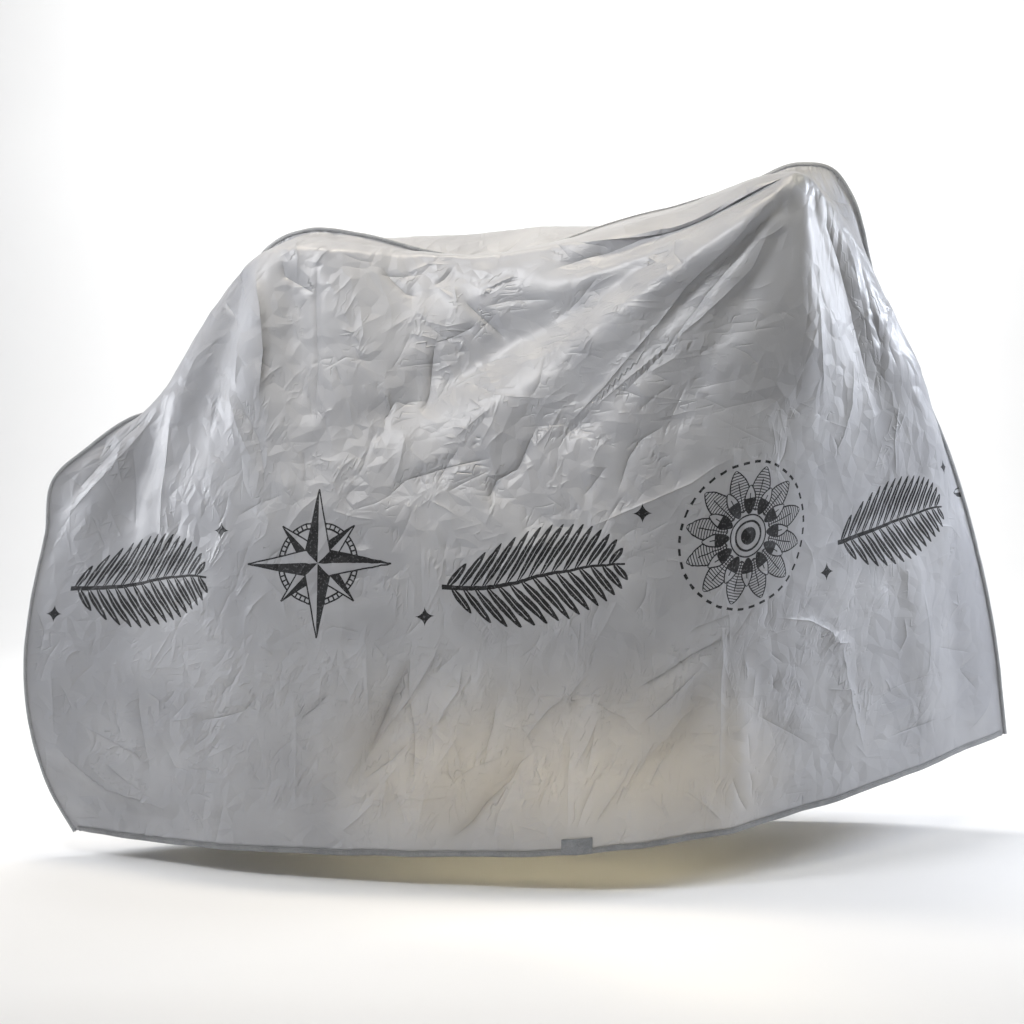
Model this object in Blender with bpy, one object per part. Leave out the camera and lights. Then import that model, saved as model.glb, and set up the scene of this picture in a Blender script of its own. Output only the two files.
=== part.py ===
"""Fitted rain cover, as it hangs over what it covers.

Two film panels meet at one bound seam, which runs from the rear hem over the top
to the front hem. Each hem is bound with tape, and a small patch is sewn to one hem.
Lengths are in metres. X runs to the front, Y away from the near side, and Z up from
the ground, until the last step moves the mount point to the origin.
"""

import math

import bmesh
import bpy
import numpy as np

FILM = 0.0012  # film thickness as modelled
TAPE = 0.0010  # tape thickness as modelled
CLEAR = 0.0003  # space between pieces that touch
HEM_CLEAR = 0.0006  # the same at the hem, whose edge is wavy
SEAM_WIDTH = 0.0095  # seam allowance that stands out past the stitching
SEAM_BARE = 0.0022  # part of it below the tape
HEM_WIDTH = 0.0070  # hem tape, from the cut edge up
HEM_INSET = 0.0050  # hem tape stops this far from the seam
HEM_SHARE = 0.010  # share of a section's height in the last row of the grid
PATCH_SIZE = (0.050, 0.026)  # width along the hem, height
PATCH_AT = 0.105  # its middle, along X
PATCH_COLUMNS = 7  # grid columns across it
PATCH_STEP = 0.005  # it reaches the film this far above the hem tape
COLUMNS = 51  # grid columns between the rear seam and the front seam
TOP_ROWS = 6  # grid rows between the seam and the ridge
SIDE_ROWS = 22  # grid rows between the ridge and the hem
RIDGE_SHARE = 0.18  # share of a section's height that lies on top
LEVEL_SHARES = (0.0, RIDGE_SHARE, 0.36, 0.64, 1.0)  # seam, ridge, shoulder, waist, hem
RIDGE_TURN = 0.22  # how far along its two sides the ridge starts to round off
SEAM_FADE = 0.035  # folds die out over this width beside the seam
FOLD_START, FOLD_END = 0.15, 0.92  # share of a half wave that a fold's height starts and ends at
MOUNT = (0.193, 0.070, 1.120)  # just under the seam, where the top rests highest

# name, x, y, z, lean of the seam allowance towards the near side in degrees
SEAM = (
    ("rear hem", -0.773, 0.000, 0.045, 0),
    ("rear low", -0.810, 0.000, 0.109, 0),
    ("rear belly", -0.840, 0.000, 0.190, 0),
    ("rear widest", -0.858, 0.000, 0.330, 0),
    ("rear upper", -0.844, 0.000, 0.456, 0),
    ("tail under", -0.816, 0.000, 0.573, 0),
    ("tail", -0.797, 0.000, 0.659, 0),
    ("tail top", -0.745, 0.000, 0.719, 0),
    ("rear shelf", -0.675, 0.000, 0.768, 0),
    ("notch rear", -0.617, 0.002, 0.790, 0),
    ("notch", -0.582, 0.004, 0.817, 0),
    ("rear slope", -0.508, 0.004, 0.951, 0),
    ("slope top", -0.448, 0.002, 1.046, 0),
    ("peak corner", -0.407, 0.000, 1.085, 0),
    ("rear peak", -0.358, 0.000, 1.101, 3),
    ("peak front", -0.266, 0.000, 1.093, 6),
    ("sag rear", -0.147, 0.006, 1.064, 10),
    ("sag", -0.045, 0.020, 1.050, 12),
    ("sag front", 0.063, 0.048, 1.083, 12),
    ("crest", 0.193, 0.070, 1.132, 8),
    ("nose rise", 0.312, 0.025, 1.156, 4),
    ("nose rear", 0.413, -0.050, 1.177, 0),
    ("nose top", 0.492, -0.090, 1.200, 0),
    ("nose", 0.537, -0.100, 1.191, 0),
    ("nose front", 0.568, -0.100, 1.153, 0),
    ("nose under", 0.586, -0.095, 1.095, 0),
    ("front top", 0.607, -0.078, 1.025, 0),
    ("front upper", 0.694, -0.012, 0.871, 0),
    ("front middle", 0.792, 0.085, 0.707, 0),
    ("front waist", 0.859, 0.155, 0.550, 0),
    ("front low", 0.909, 0.195, 0.370, 0),
    ("front hem", 0.936, 0.210, 0.180, 0),
)

# Sections run from the seam down to the hem. Each has a place across the panel, from 0 at
# the rear seam to 1 at the front seam, and a share of the top seam where it starts.
SECTIONS = (
    ("rear flank", 0.060, 0.012),
    ("peak rear", 0.155, 0.055),
    ("rear peak", 0.270, 0.135),
    ("sag", 0.390, 0.255),
    ("middle", 0.520, 0.430),
    ("crest", 0.660, 0.640),
    ("front peak", 0.800, 0.830),
    ("nose", 0.900, 0.930),
    ("front flank", 0.955, 0.970),
)
# (x, y, z) of each section at four levels
NEAR_LEVELS = (
    # ridge, shoulder, waist, hem
    ((-0.505, -0.048, 0.982), (-0.606, -0.058, 0.802), (-0.664, -0.056, 0.472), (-0.650, -0.065, 0.043)),
    ((-0.425, -0.088, 1.055), (-0.457, -0.125, 0.881), (-0.475, -0.168, 0.502), (-0.480, -0.150, 0.048)),
    ((-0.300, -0.098, 1.060), (-0.306, -0.140, 0.896), (-0.312, -0.207, 0.517), (-0.320, -0.200, 0.053)),
    ((-0.170, -0.075, 1.056), (-0.150, -0.134, 0.905), (-0.134, -0.242, 0.526), (-0.140, -0.240, 0.058)),
    ((0.020, -0.115, 1.059), (0.040, -0.170, 0.916), (0.055, -0.281, 0.531), (0.053, -0.268, 0.066)),
    ((0.240, -0.220, 1.096), (0.241, -0.250, 0.931), (0.238, -0.302, 0.544), (0.240, -0.272, 0.084)),
    ((0.442, -0.308, 1.139), (0.440, -0.290, 0.945), (0.427, -0.236, 0.562), (0.430, -0.200, 0.107)),
    ((0.540, -0.225, 1.070), (0.590, -0.185, 0.905), (0.646, -0.062, 0.581), (0.665, -0.045, 0.142)),
    ((0.600, -0.150, 1.020), (0.697, -0.084, 0.860), (0.789, 0.055, 0.561), (0.815, 0.090, 0.165)),
)
FAR_LEVELS = (
    ((-0.500, 0.050, 0.970), (-0.600, 0.060, 0.800), (-0.668, 0.050, 0.470), (-0.650, 0.065, 0.043)),
    ((-0.425, 0.085, 1.062), (-0.455, 0.125, 0.880), (-0.480, 0.135, 0.500), (-0.480, 0.140, 0.048)),
    ((-0.290, 0.100, 1.096), (-0.305, 0.150, 0.895), (-0.315, 0.180, 0.515), (-0.320, 0.190, 0.053)),
    ((-0.130, 0.135, 1.122), (-0.140, 0.185, 0.905), (-0.135, 0.225, 0.525), (-0.140, 0.235, 0.058)),
    ((0.070, 0.205, 1.152), (0.062, 0.235, 0.925), (0.055, 0.265, 0.530), (0.053, 0.272, 0.066)),
    ((0.250, 0.175, 1.120), (0.250, 0.245, 0.930), (0.245, 0.285, 0.543), (0.240, 0.290, 0.084)),
    ((0.420, 0.085, 1.100), (0.440, 0.195, 0.925), (0.455, 0.285, 0.560), (0.450, 0.295, 0.107)),
    ((0.540, 0.015, 1.050), (0.590, 0.155, 0.880), (0.655, 0.270, 0.570), (0.675, 0.285, 0.142)),
    ((0.588, -0.030, 1.010), (0.668, 0.100, 0.830), (0.765, 0.235, 0.560), (0.800, 0.260, 0.165)),
)

# Main folds of each panel: a soft ridge (height over 0) or trough (under 0) that runs from
# one (x, z) to another and widens on its way. The widths are half widths at its two ends.
NEAR_FOLDS = (
    # name, start, end, start width, end width, height
    ("fan ridge 1", (0.43, 1.11), (-0.05, 0.755), 0.024, 0.052, 0.019),
    ("fan trough 1", (0.38, 1.08), (-0.12, 0.845), 0.024, 0.050, -0.015),
    ("fan trough 2", (0.42, 1.095), (0.03, 0.700), 0.024, 0.045, -0.013),
    ("fan ridge 2", (0.415, 1.075), (0.11, 0.745), 0.024, 0.050, 0.012),
    ("fan trough 3", (0.41, 1.04), (0.22, 0.700), 0.024, 0.050, -0.009),
    ("upper swell", (0.20, 1.03), (0.02, 0.955), 0.024, 0.040, 0.005),
    ("drop ridge", (0.455, 1.10), (0.475, 0.740), 0.024, 0.038, 0.013),
    ("drop trough", (0.475, 1.11), (0.620, 0.770), 0.024, 0.034, -0.016),
    ("nose ridge", (0.52, 1.11), (0.68, 0.800), 0.024, 0.032, 0.009),
    ("peak flank ridge", (-0.42, 1.03), (-0.44, 0.760), 0.024, 0.034, 0.014),
    ("peak flank trough", (-0.46, 1.00), (-0.59, 0.700), 0.024, 0.038, -0.016),
    ("peak rear ridge", (-0.50, 0.95), (-0.64, 0.640), 0.024, 0.034, 0.010),
    ("peak side trough", (-0.37, 1.01), (-0.35, 0.740), 0.024, 0.034, -0.009),
    ("middle trough", (0.02, 0.91), (-0.32, 0.720), 0.035, 0.050, -0.012),
    ("tail trough", (-0.60, 0.78), (-0.70, 0.560), 0.024, 0.036, -0.014),
    ("tail ridge", (-0.67, 0.74), (-0.78, 0.520), 0.024, 0.032, 0.009),
    ("corner ridge", (-0.80, 0.20), (-0.56, 0.100), 0.024, 0.032, 0.011),
    ("corner trough", (-0.79, 0.14), (-0.60, 0.060), 0.024, 0.026, -0.008),
    ("low trough rear", (-0.13, 0.37), (-0.27, 0.150), 0.024, 0.034, -0.013),
    ("low ridge rear", (-0.05, 0.34), (-0.17, 0.090), 0.024, 0.034, 0.010),
    ("low trough middle", (0.04, 0.28), (-0.08, 0.080), 0.024, 0.032, -0.012),
    ("hem ridge middle", (0.14, 0.34), (0.12, 0.080), 0.024, 0.034, 0.011),
    ("low trough front", (0.31, 0.35), (0.18, 0.110), 0.024, 0.034, -0.014),
    ("hem ridge front", (0.37, 0.35), (0.36, 0.090), 0.024, 0.036, 0.011),
    ("front low ridge", (0.70, 0.52), (0.76, 0.170), 0.024, 0.040, 0.011),
    ("front low trough", (0.80, 0.50), (0.84, 0.190), 0.024, 0.030, -0.009),
)
FAR_FOLDS = (
    ("fan ridge 1", (0.06, 1.10), (-0.14, 0.700), 0.024, 0.055, 0.016),
    ("fan trough 1", (0.08, 1.08), (-0.02, 0.640), 0.024, 0.048, -0.015),
    ("fan ridge 2", (0.10, 1.08), (0.09, 0.620), 0.024, 0.045, 0.013),
    ("fan trough 2", (0.12, 1.08), (0.25, 0.660), 0.024, 0.052, -0.016),
    ("fan ridge 3", (0.15, 1.10), (0.41, 0.720), 0.024, 0.055, 0.015),
    ("nose trough", (0.50, 1.06), (0.60, 0.700), 0.024, 0.040, -0.014),
    ("peak flank ridge", (-0.42, 1.03), (-0.45, 0.760), 0.024, 0.034, 0.014),
    ("peak flank trough", (-0.46, 1.00), (-0.58, 0.700), 0.024, 0.038, -0.015),
    ("tail trough", (-0.60, 0.78), (-0.70, 0.560), 0.024, 0.036, -0.012),
    ("low ridge rear", (-0.40, 0.44), (-0.44, 0.070), 0.026, 0.042, 0.014),
    ("low trough middle", (-0.12, 0.42), (-0.18, 0.070), 0.026, 0.040, -0.012),
    ("low ridge middle", (0.10, 0.40), (0.08, 0.080), 0.026, 0.040, 0.012),
    ("low trough front", (0.36, 0.38), (0.34, 0.100), 0.026, 0.040, -0.014),
    ("front low ridge", (0.66, 0.48), (0.70, 0.160), 0.026, 0.040, 0.012),
)

# name of the finish, base colour, roughness
FILM_FINISH = ("silver film", (0.46, 0.47, 0.51), 0.42)
TAPE_FINISH = ("grey tape", (0.20, 0.21, 0.23), 0.70)


def clear_scene():
    for item in list(bpy.data.objects):
        bpy.data.objects.remove(item, do_unlink=True)


def finish(row):
    """The Principled material of one finish."""
    name, colour, roughness = row
    made = bpy.data.materials.new(name)
    made.use_nodes = True
    shader = made.node_tree.nodes["Principled BSDF"]
    shader.inputs["Base Color"].default_value = (*colour, 1.0)
    shader.inputs["Roughness"].default_value = roughness
    shader.inputs["Metallic"].default_value = 0.0
    return made


def unit(vectors):
    return vectors / np.linalg.norm(vectors, axis=-1, keepdims=True)


def smooth(knots, values, places):
    """A smooth curve through the values at the knots, read at the places."""
    knots = np.asarray(knots, float)
    values = np.asarray(values, float)
    steps = np.diff(knots).reshape((-1,) + (1,) * (values.ndim - 1))
    slopes = np.diff(values, axis=0) / steps
    tangents = np.empty_like(values)
    tangents[0] = slopes[0]
    tangents[-1] = slopes[-1]
    tangents[1:-1] = (slopes[:-1] * steps[1:] + slopes[1:] * steps[:-1]) / (steps[1:] + steps[:-1])
    at = np.clip(np.searchsorted(knots, places, side="right") - 1, 0, len(knots) - 2)
    t = ((places - knots[at]) / (knots[at + 1] - knots[at])).reshape((-1,) + (1,) * (values.ndim - 1))
    span = steps[at]
    return (
        (2 * t**3 - 3 * t**2 + 1) * values[at]
        + (t**3 - 2 * t**2 + t) * span * tangents[at]
        + (3 * t**2 - 2 * t**3) * values[at + 1]
        + (t**3 - t**2) * span * tangents[at + 1]
    )


def lengths_along(points):
    steps = np.linalg.norm(np.diff(points, axis=0), axis=1)
    return np.concatenate([[0.0], np.cumsum(steps)])


def seam_stretch(first, last, shares):
    """Points and leans at these shares of the seam's length between two named places."""
    names = [row[0] for row in SEAM]
    points = np.array([row[1:4] for row in SEAM])
    leans = np.array([row[4] for row in SEAM], float)
    knots = lengths_along(points)
    start = knots[names.index(first)]
    end = knots[names.index(last)]
    places = start + (end - start) * np.asarray(shares)
    return smooth(knots, points, places), smooth(knots, leans, places)


def row_shares():
    """Heights of the grid rows, 0 at the seam and 1 at the hem, closest at the ridge."""
    top = RIDGE_SHARE * np.linspace(0, 1, TOP_ROWS, endpoint=False)
    side = np.linspace(0, 1, SIDE_ROWS) ** 1.2
    return np.concatenate([top, RIDGE_SHARE + (1 - HEM_SHARE - RIDGE_SHARE) * side, [1.0]])


def column_shares():
    """Place of each grid column across the panel, and its share of the top seam."""
    columns = np.linspace(0, 1, COLUMNS)
    places = [0.0, *(row[1] for row in SECTIONS), 1.0]
    shares = [0.0, *(row[2] for row in SECTIONS), 1.0]
    return columns, smooth(places, shares, columns)


def seam_path():
    """The seam in the order of a panel's edge: up the rear, over the top, down the front."""
    rows, shares = row_shares(), column_shares()[1]
    rear, rear_lean = seam_stretch("rear hem", "peak corner", 1 - rows[::-1])
    top, top_lean = seam_stretch("peak corner", "nose front", shares[1:-1])
    front, front_lean = seam_stretch("nose front", "front hem", rows)
    return np.concatenate([rear, top, front]), np.concatenate([rear_lean, top_lean, front_lean])


def seam_frames(points, leans):
    """Directions along the path: out of the cover, and sideways to the near side."""
    along = unit(np.gradient(points, axis=0))
    out = unit(np.stack([-along[:, 2], np.zeros(len(along)), along[:, 0]], axis=1))
    near = unit(np.cross(along, out))
    near = np.where(near[:, 1:2] > 0, -near, near)
    turn = np.radians(leans)[:, None]
    return out * np.cos(turn) + near * np.sin(turn), near * np.cos(turn) - out * np.sin(turn)


def section_curve(points, shares):
    """One section read at the row heights, with its ridge rounded off between its two sides."""
    knots = list(LEVEL_SHARES)
    values = [np.array(point) for point in points]
    before = knots[1] - (knots[1] - knots[0]) * RIDGE_TURN
    after = knots[1] + (knots[2] - knots[1]) * RIDGE_TURN
    start = values[1] + (values[0] - values[1]) * RIDGE_TURN
    end = values[1] + (values[2] - values[1]) * RIDGE_TURN
    middle = (start + end) / 4 + values[1] / 2
    return smooth(
        [knots[0], before, knots[1], after, *knots[2:]],
        [values[0], start, middle, end, *values[2:]],
        shares,
    )


def lofted(levels):
    """The grid of a panel, columns by rows, before its folds."""
    rows = row_shares()
    columns, shares = column_shares()
    rear = seam_stretch("rear hem", "peak corner", 1 - rows)[0]
    front = seam_stretch("nose front", "front hem", rows)[0]
    top = seam_stretch("peak corner", "nose front", shares)[0]
    starts = seam_stretch("peak corner", "nose front", [row[2] for row in SECTIONS])[0]
    curves = [section_curve([start, *points], rows) for start, points in zip(starts, levels)]
    places = [0.0, *(row[1] for row in SECTIONS), 1.0]
    grid = smooth(places, np.array([rear, *curves, front]), columns)
    pull = (top - grid[:, 0])[:, None, :] * ((1 - rows) ** 8)[None, :, None]
    return grid + pull


def grid_normals(grid, side):
    """Unit normals of a grid, turned to the side, which is -1 for near and 1 for far."""
    normals = unit(np.cross(np.gradient(grid, axis=0), np.gradient(grid, axis=1)))
    middle = normals[grid.shape[0] // 2, grid.shape[1] // 2]
    return normals if middle[1] * side > 0 else -normals


def fold_heights(grid, folds):
    """Height of all folds together at each point of the grid."""
    heights = np.zeros(grid.shape[:2])
    flat = grid[:, :, (0, 2)]
    for _, start, end, start_width, end_width, height in folds:
        run = np.subtract(end, start)
        share = np.clip(((flat - start) @ run) / (run @ run), 0, 1)
        away = np.linalg.norm(flat - start - share[..., None] * run, axis=-1)
        width = start_width + (end_width - start_width) * share
        swell = np.sin(math.pi * (FOLD_START + (FOLD_END - FOLD_START) * share))
        heights += height * swell * np.exp(-((away / width) ** 2))
    return heights


def panel_grid(levels, folds, side):
    """The middle surface of a panel as it hangs, columns by rows."""
    grid = lofted(levels)
    beside = np.minimum.reduce(
        [
            np.linalg.norm(grid - grid[:1], axis=-1),
            np.linalg.norm(grid - grid[-1:], axis=-1),
            np.linalg.norm(grid - grid[:, :1], axis=-1),
        ]
    )
    fade = np.clip(beside / SEAM_FADE, 0, 1)
    fade = fade * fade * (3 - 2 * fade)
    moves = grid_normals(grid, side) * (fold_heights(grid, folds) * fade)[..., None]
    moves[:, -1] = moves[:, -2]
    return grid + moves


def halved(quads):
    """Each quad as two triangles, cut from its first corner to its third."""
    return [half for a, b, c, d in quads for half in ((a, b, c), (a, c, d))]


def panel_surface(grid, path, out, near, side):
    """Points and faces of a panel's middle surface, with the seam allowance round three edges."""
    columns, rows = grid.shape[:2]
    grid = grid.copy()
    index = np.arange(columns * rows).reshape(columns, rows)
    edge = np.concatenate([index[0, ::-1], index[1:-1, 0], index[-1]])
    off_centre = -side * (FILM + CLEAR) / 2
    points = grid.reshape(-1, 3)
    points[edge] = path + near * off_centre
    tips = points[edge] + out * SEAM_WIDTH
    tip_index = np.arange(len(edge)) + len(points)
    quads = [
        (index[i, j], index[i + 1, j], index[i + 1, j + 1], index[i, j + 1])
        for i in range(columns - 1)
        for j in range(rows - 1)
    ]
    quads += [
        (edge[k], tip_index[k], tip_index[k + 1], edge[k + 1]) for k in range(len(edge) - 1)
    ]
    faces = halved(quads)
    if side < 0:
        faces = [face[::-1] for face in faces]
    return np.concatenate([points, tips]), faces


def thickening(points, faces):
    """For each point, the move that shifts every face round it outwards by one unit."""
    around = [[] for _ in points]
    for face in faces:
        a, b, c = points[list(face)]
        normal = unit(np.cross(b - a, c - a))
        for corner in face:
            around[corner].append(normal)
    moves = np.empty_like(points)
    for k, normals in enumerate(around):
        normals = np.array(normals)
        moves[k] = np.linalg.pinv(normals, rcond=0.25) @ np.ones(len(normals))
    return moves


def closed_sheet(outer, inner, faces):
    """Points and faces of the solid between two layers of the same surface."""
    count = len(outer)
    edges = {(face[k - 1], face[k]) for face in faces for k in range(len(face))}
    rim = halved((b, a, a + count, b + count) for a, b in edges if (b, a) not in edges)
    back = [tuple(corner + count for corner in face[::-1]) for face in faces]
    return np.concatenate([outer, inner]), list(faces) + back + sorted(rim)


def channel(rings):
    """Points and faces of a folded tape, from rings of eight points along it."""
    quads = []
    for ring in range(len(rings) - 1):
        for corner in range(8):
            a = ring * 8 + corner
            b = ring * 8 + (corner + 1) % 8
            # both legs are cut the same way as the cloth between them
            quads.append((b, b + 8, a + 8, a) if corner in (2, 6) else (a, b, b + 8, a + 8))
    for end in (0, len(rings) - 1):
        for quad in ((0, 1, 6, 7), (1, 2, 5, 6), (2, 3, 4, 5)):
            quads.append(tuple(end * 8 + corner for corner in quad))
    return rings.reshape(-1, 3), halved(quads)


def add_piece(name, points, faces, material, root):
    """One closed solid as an object under the root."""
    mesh = bpy.data.meshes.new(name)
    mesh.from_pydata([tuple(point) for point in points], [], [tuple(map(int, face)) for face in faces])
    shape = bmesh.new()
    shape.from_mesh(mesh)
    bmesh.ops.recalc_face_normals(shape, faces=shape.faces)
    shape.to_mesh(mesh)
    shape.free()
    mesh.shade_smooth()
    mesh.set_sharp_from_angle(angle=math.radians(50))
    mesh.materials.append(material)
    piece = bpy.data.objects.new(name, mesh)
    piece.parent = root
    bpy.context.scene.collection.objects.link(piece)
    return piece


def add_panel(name, grid, path, out, near, side, material, root):
    points, faces = panel_surface(grid, path, out, near, side)
    moves = thickening(points, faces) * FILM / 2
    add_piece(name, *closed_sheet(points + moves, points - moves, faces), material, root)
    return points, thickening(points, faces)


def add_seam_binding(path, out, near, material, root):
    """The tape folded over both panels' seam allowances."""
    inside = FILM + CLEAR / 2 + CLEAR
    outside = inside + TAPE
    low, crown, top = SEAM_BARE, SEAM_WIDTH + CLEAR, SEAM_WIDTH + CLEAR + TAPE
    corners = (
        (outside, low), (outside, top), (-outside, top), (-outside, low),
        (-inside, low), (-inside, crown), (inside, crown), (inside, low),
    )
    rings = np.stack([path + near * across + out * up for across, up in corners], axis=1)
    add_piece("seam_binding", *channel(rings), material, root)


def add_hem_binding(name, points, moves, material, root):
    """The tape folded over a panel's lower edge, between its two seams."""
    rows = TOP_ROWS + SIDE_ROWS + 1
    last = np.arange(COLUMNS) * rows + rows - 1
    hem, facing = points[last], moves[last]
    rise = points[last - 1] - hem
    share = HEM_WIDTH / np.linalg.norm(rise, axis=1, keepdims=True)
    upper = hem + rise * share
    upper_facing = facing + (moves[last - 1] - facing) * share
    down = -unit(rise)
    inside = FILM / 2 + HEM_CLEAR
    outside = inside + TAPE
    crown, low = CLEAR, CLEAR + TAPE
    rings = np.stack(
        [
            upper + upper_facing * outside,
            hem + facing * outside + down * low,
            hem - facing * outside + down * low,
            upper - upper_facing * outside,
            upper - upper_facing * inside,
            hem - facing * inside + down * crown,
            hem + facing * inside + down * crown,
            upper + upper_facing * inside,
        ],
        axis=1,
    )
    for end, beside in ((0, 1), (-1, -2)):
        step = np.linalg.norm(hem[beside] - hem[end])
        rings[end] += (rings[beside] - rings[end]) * HEM_INSET / step
    add_piece(name, *channel(rings), material, root)


def add_hem_patch(points, moves, material, root):
    """The small plate of tape cloth sewn over the hem, which steps down past the hem tape."""
    rows = TOP_ROWS + SIDE_ROWS + 1
    surface = points[: COLUMNS * rows].reshape(COLUMNS, rows, 3)
    facing = moves[: COLUMNS * rows].reshape(COLUMNS, rows, 3)
    over_tape = FILM / 2 + HEM_CLEAR + TAPE + CLEAR
    over_film = FILM / 2 + HEM_CLEAR
    heights = (0.0, HEM_WIDTH + PATCH_STEP / 3, HEM_WIDTH + PATCH_STEP, PATCH_SIZE[1])
    lifts = np.array([over_tape, over_tape, over_film, over_film])[:, None]
    edges = PATCH_AT + PATCH_SIZE[0] * np.linspace(-0.5, 0.5, PATCH_COLUMNS)
    inner, outer = [], []
    for place in np.interp(edges, surface[:, -1, 0], np.arange(COLUMNS)):
        column, share = int(place), place % 1
        line = surface[column] * (1 - share) + surface[column + 1] * share
        turn = facing[column] * (1 - share) + facing[column + 1] * share
        line, turn = line[::-1], turn[::-1]
        along = lengths_along(line)
        base = np.stack([np.interp(heights, along, line[:, axis]) for axis in range(3)], axis=1)
        face = unit(np.stack([np.interp(heights, along, turn[:, axis]) for axis in range(3)], axis=1))
        inner.append(base + face * lifts)
        outer.append(base + face * (lifts + TAPE))
    index = np.arange(PATCH_COLUMNS * len(heights)).reshape(PATCH_COLUMNS, len(heights))
    quads = [
        (index[i, j], index[i + 1, j], index[i + 1, j + 1], index[i, j + 1])
        for i in range(PATCH_COLUMNS - 1)
        for j in range(len(heights) - 1)
    ]
    outer, inner = np.concatenate(outer), np.concatenate(inner)
    add_piece("hem_patch", *closed_sheet(outer, inner, halved(quads)), material, root)


def main():
    clear_scene()
    film, tape = finish(FILM_FINISH), finish(TAPE_FINISH)
    root = bpy.data.objects.new("cover", None)
    root.location = [-value for value in MOUNT]
    bpy.context.scene.collection.objects.link(root)
    path, leans = seam_path()
    out, near = seam_frames(path, leans)
    add_seam_binding(path, out, near, tape, root)
    for label, levels, folds, side in (
        ("near", NEAR_LEVELS, NEAR_FOLDS, -1),
        ("far", FAR_LEVELS, FAR_FOLDS, 1),
    ):
        grid = panel_grid(levels, folds, side)
        points, moves = add_panel(f"panel_{label}", grid, path, out, near, side, film, root)
        add_hem_binding(f"hem_binding_{label}", points, moves, tape, root)
        if side < 0:
            add_hem_patch(points, moves, tape, root)


main()
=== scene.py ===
# Fitted rain cover of thin silver film, as it hangs. Everything is in metres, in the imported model's frame:
# X runs to the front, Y away from the near side, Z up. The tables below are in a frame that stands on the
# ground, and hangPoint is the model's origin in it.

import math

import bmesh
import bpy
import numpy as np
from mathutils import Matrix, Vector, noise


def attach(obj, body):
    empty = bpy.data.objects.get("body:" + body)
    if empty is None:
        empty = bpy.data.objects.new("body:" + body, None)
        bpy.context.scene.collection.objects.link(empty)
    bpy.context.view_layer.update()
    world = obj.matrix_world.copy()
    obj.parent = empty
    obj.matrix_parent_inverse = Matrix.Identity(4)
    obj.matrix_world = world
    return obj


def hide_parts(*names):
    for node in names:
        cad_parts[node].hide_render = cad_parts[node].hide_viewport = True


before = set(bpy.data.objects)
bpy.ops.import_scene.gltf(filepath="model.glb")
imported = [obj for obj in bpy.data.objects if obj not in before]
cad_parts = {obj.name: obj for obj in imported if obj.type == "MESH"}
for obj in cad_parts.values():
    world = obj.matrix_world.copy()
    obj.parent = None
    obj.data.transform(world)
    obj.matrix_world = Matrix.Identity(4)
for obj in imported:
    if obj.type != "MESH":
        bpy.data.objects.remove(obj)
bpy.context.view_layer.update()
hangPoint = np.array((0.193, 0.070, 1.120))
print("loaded the packed model:", ", ".join(sorted(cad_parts)))

# the way the cover hangs, as in the solids, apart from a sharper ridge and an uneven hem
hang = {
    "levelShares": (0.0, 0.18, 0.36, 0.64, 1.0),  # seam, ridge, shoulder, waist, hem
    "ridgeTurn": 0.12,  # where the ridge starts to round off, along its two sides
    "seamFade": 0.035,  # folds die out over this width beside the seam
    "foldStart": 0.15,  # share of a half wave that a fold's height starts at
    "foldEnd": 0.92,
    "creaseFade": 0.018,  # and creases over this width
    "hemWander": 0.0026,
    "hemWanderLength": 0.085,
    "cornerColumns": 12,  # columns over which the hem's wandering grows from a corner
}

# name, x, y, z, lean of the seam allowance towards the near side in degrees
seamRows = (
    ("rear hem", -0.773, 0.000, 0.045, 0),
    ("rear low", -0.810, 0.000, 0.109, 0),
    ("rear belly", -0.840, 0.000, 0.190, 0),
    ("rear widest", -0.858, 0.000, 0.330, 0),
    ("rear upper", -0.844, 0.000, 0.456, 0),
    ("tail under", -0.818, 0.000, 0.573, 0),
    ("tail", -0.805, 0.000, 0.664, 0),
    ("tail top", -0.745, 0.000, 0.719, 0),
    ("rear shelf", -0.675, 0.000, 0.768, 0),
    ("notch rear", -0.617, 0.002, 0.790, 0),
    ("notch", -0.582, 0.004, 0.817, 0),
    ("rear slope", -0.508, 0.004, 0.951, 0),
    ("slope top", -0.448, 0.002, 1.046, 0),
    ("peak corner", -0.407, 0.000, 1.085, 0),
    ("rear peak", -0.358, 0.000, 1.101, 3),
    ("peak front", -0.266, 0.000, 1.093, 6),
    ("sag rear", -0.147, 0.006, 1.064, 10),
    ("sag", -0.045, 0.020, 1.050, -10),
    ("sag front", 0.063, 0.048, 1.083, -45),
    ("crest", 0.193, 0.070, 1.132, -62),
    ("nose rise", 0.312, 0.025, 1.156, -58),
    ("nose rear", 0.413, -0.050, 1.177, -30),
    ("nose top", 0.492, -0.090, 1.200, -5),
    ("nose", 0.537, -0.100, 1.191, 0),
    ("nose front", 0.568, -0.100, 1.153, 0),
    ("nose under", 0.590, -0.095, 1.095, 0),
    ("nose low", 0.604, -0.084, 1.042, 0),
    ("front top", 0.611, -0.078, 1.020, 0),
    ("front upper", 0.694, -0.012, 0.871, 0),
    ("front middle", 0.792, 0.085, 0.707, 0),
    ("front waist", 0.859, 0.155, 0.550, 0),
    ("front low", 0.909, 0.195, 0.370, 0),
    ("front hem", 0.936, 0.210, 0.180, 0),
)

# name, place across the panel, share of the top seam where the section starts
sectionRows = (
    ("rear flank", 0.060, 0.012),
    ("peak rear", 0.155, 0.055),
    ("rear peak", 0.270, 0.135),
    ("sag", 0.390, 0.255),
    ("middle", 0.520, 0.430),
    ("crest", 0.660, 0.640),
    ("front peak", 0.800, 0.830),
    ("nose", 0.900, 0.930),
    ("front flank", 0.955, 0.970),
)
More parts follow.
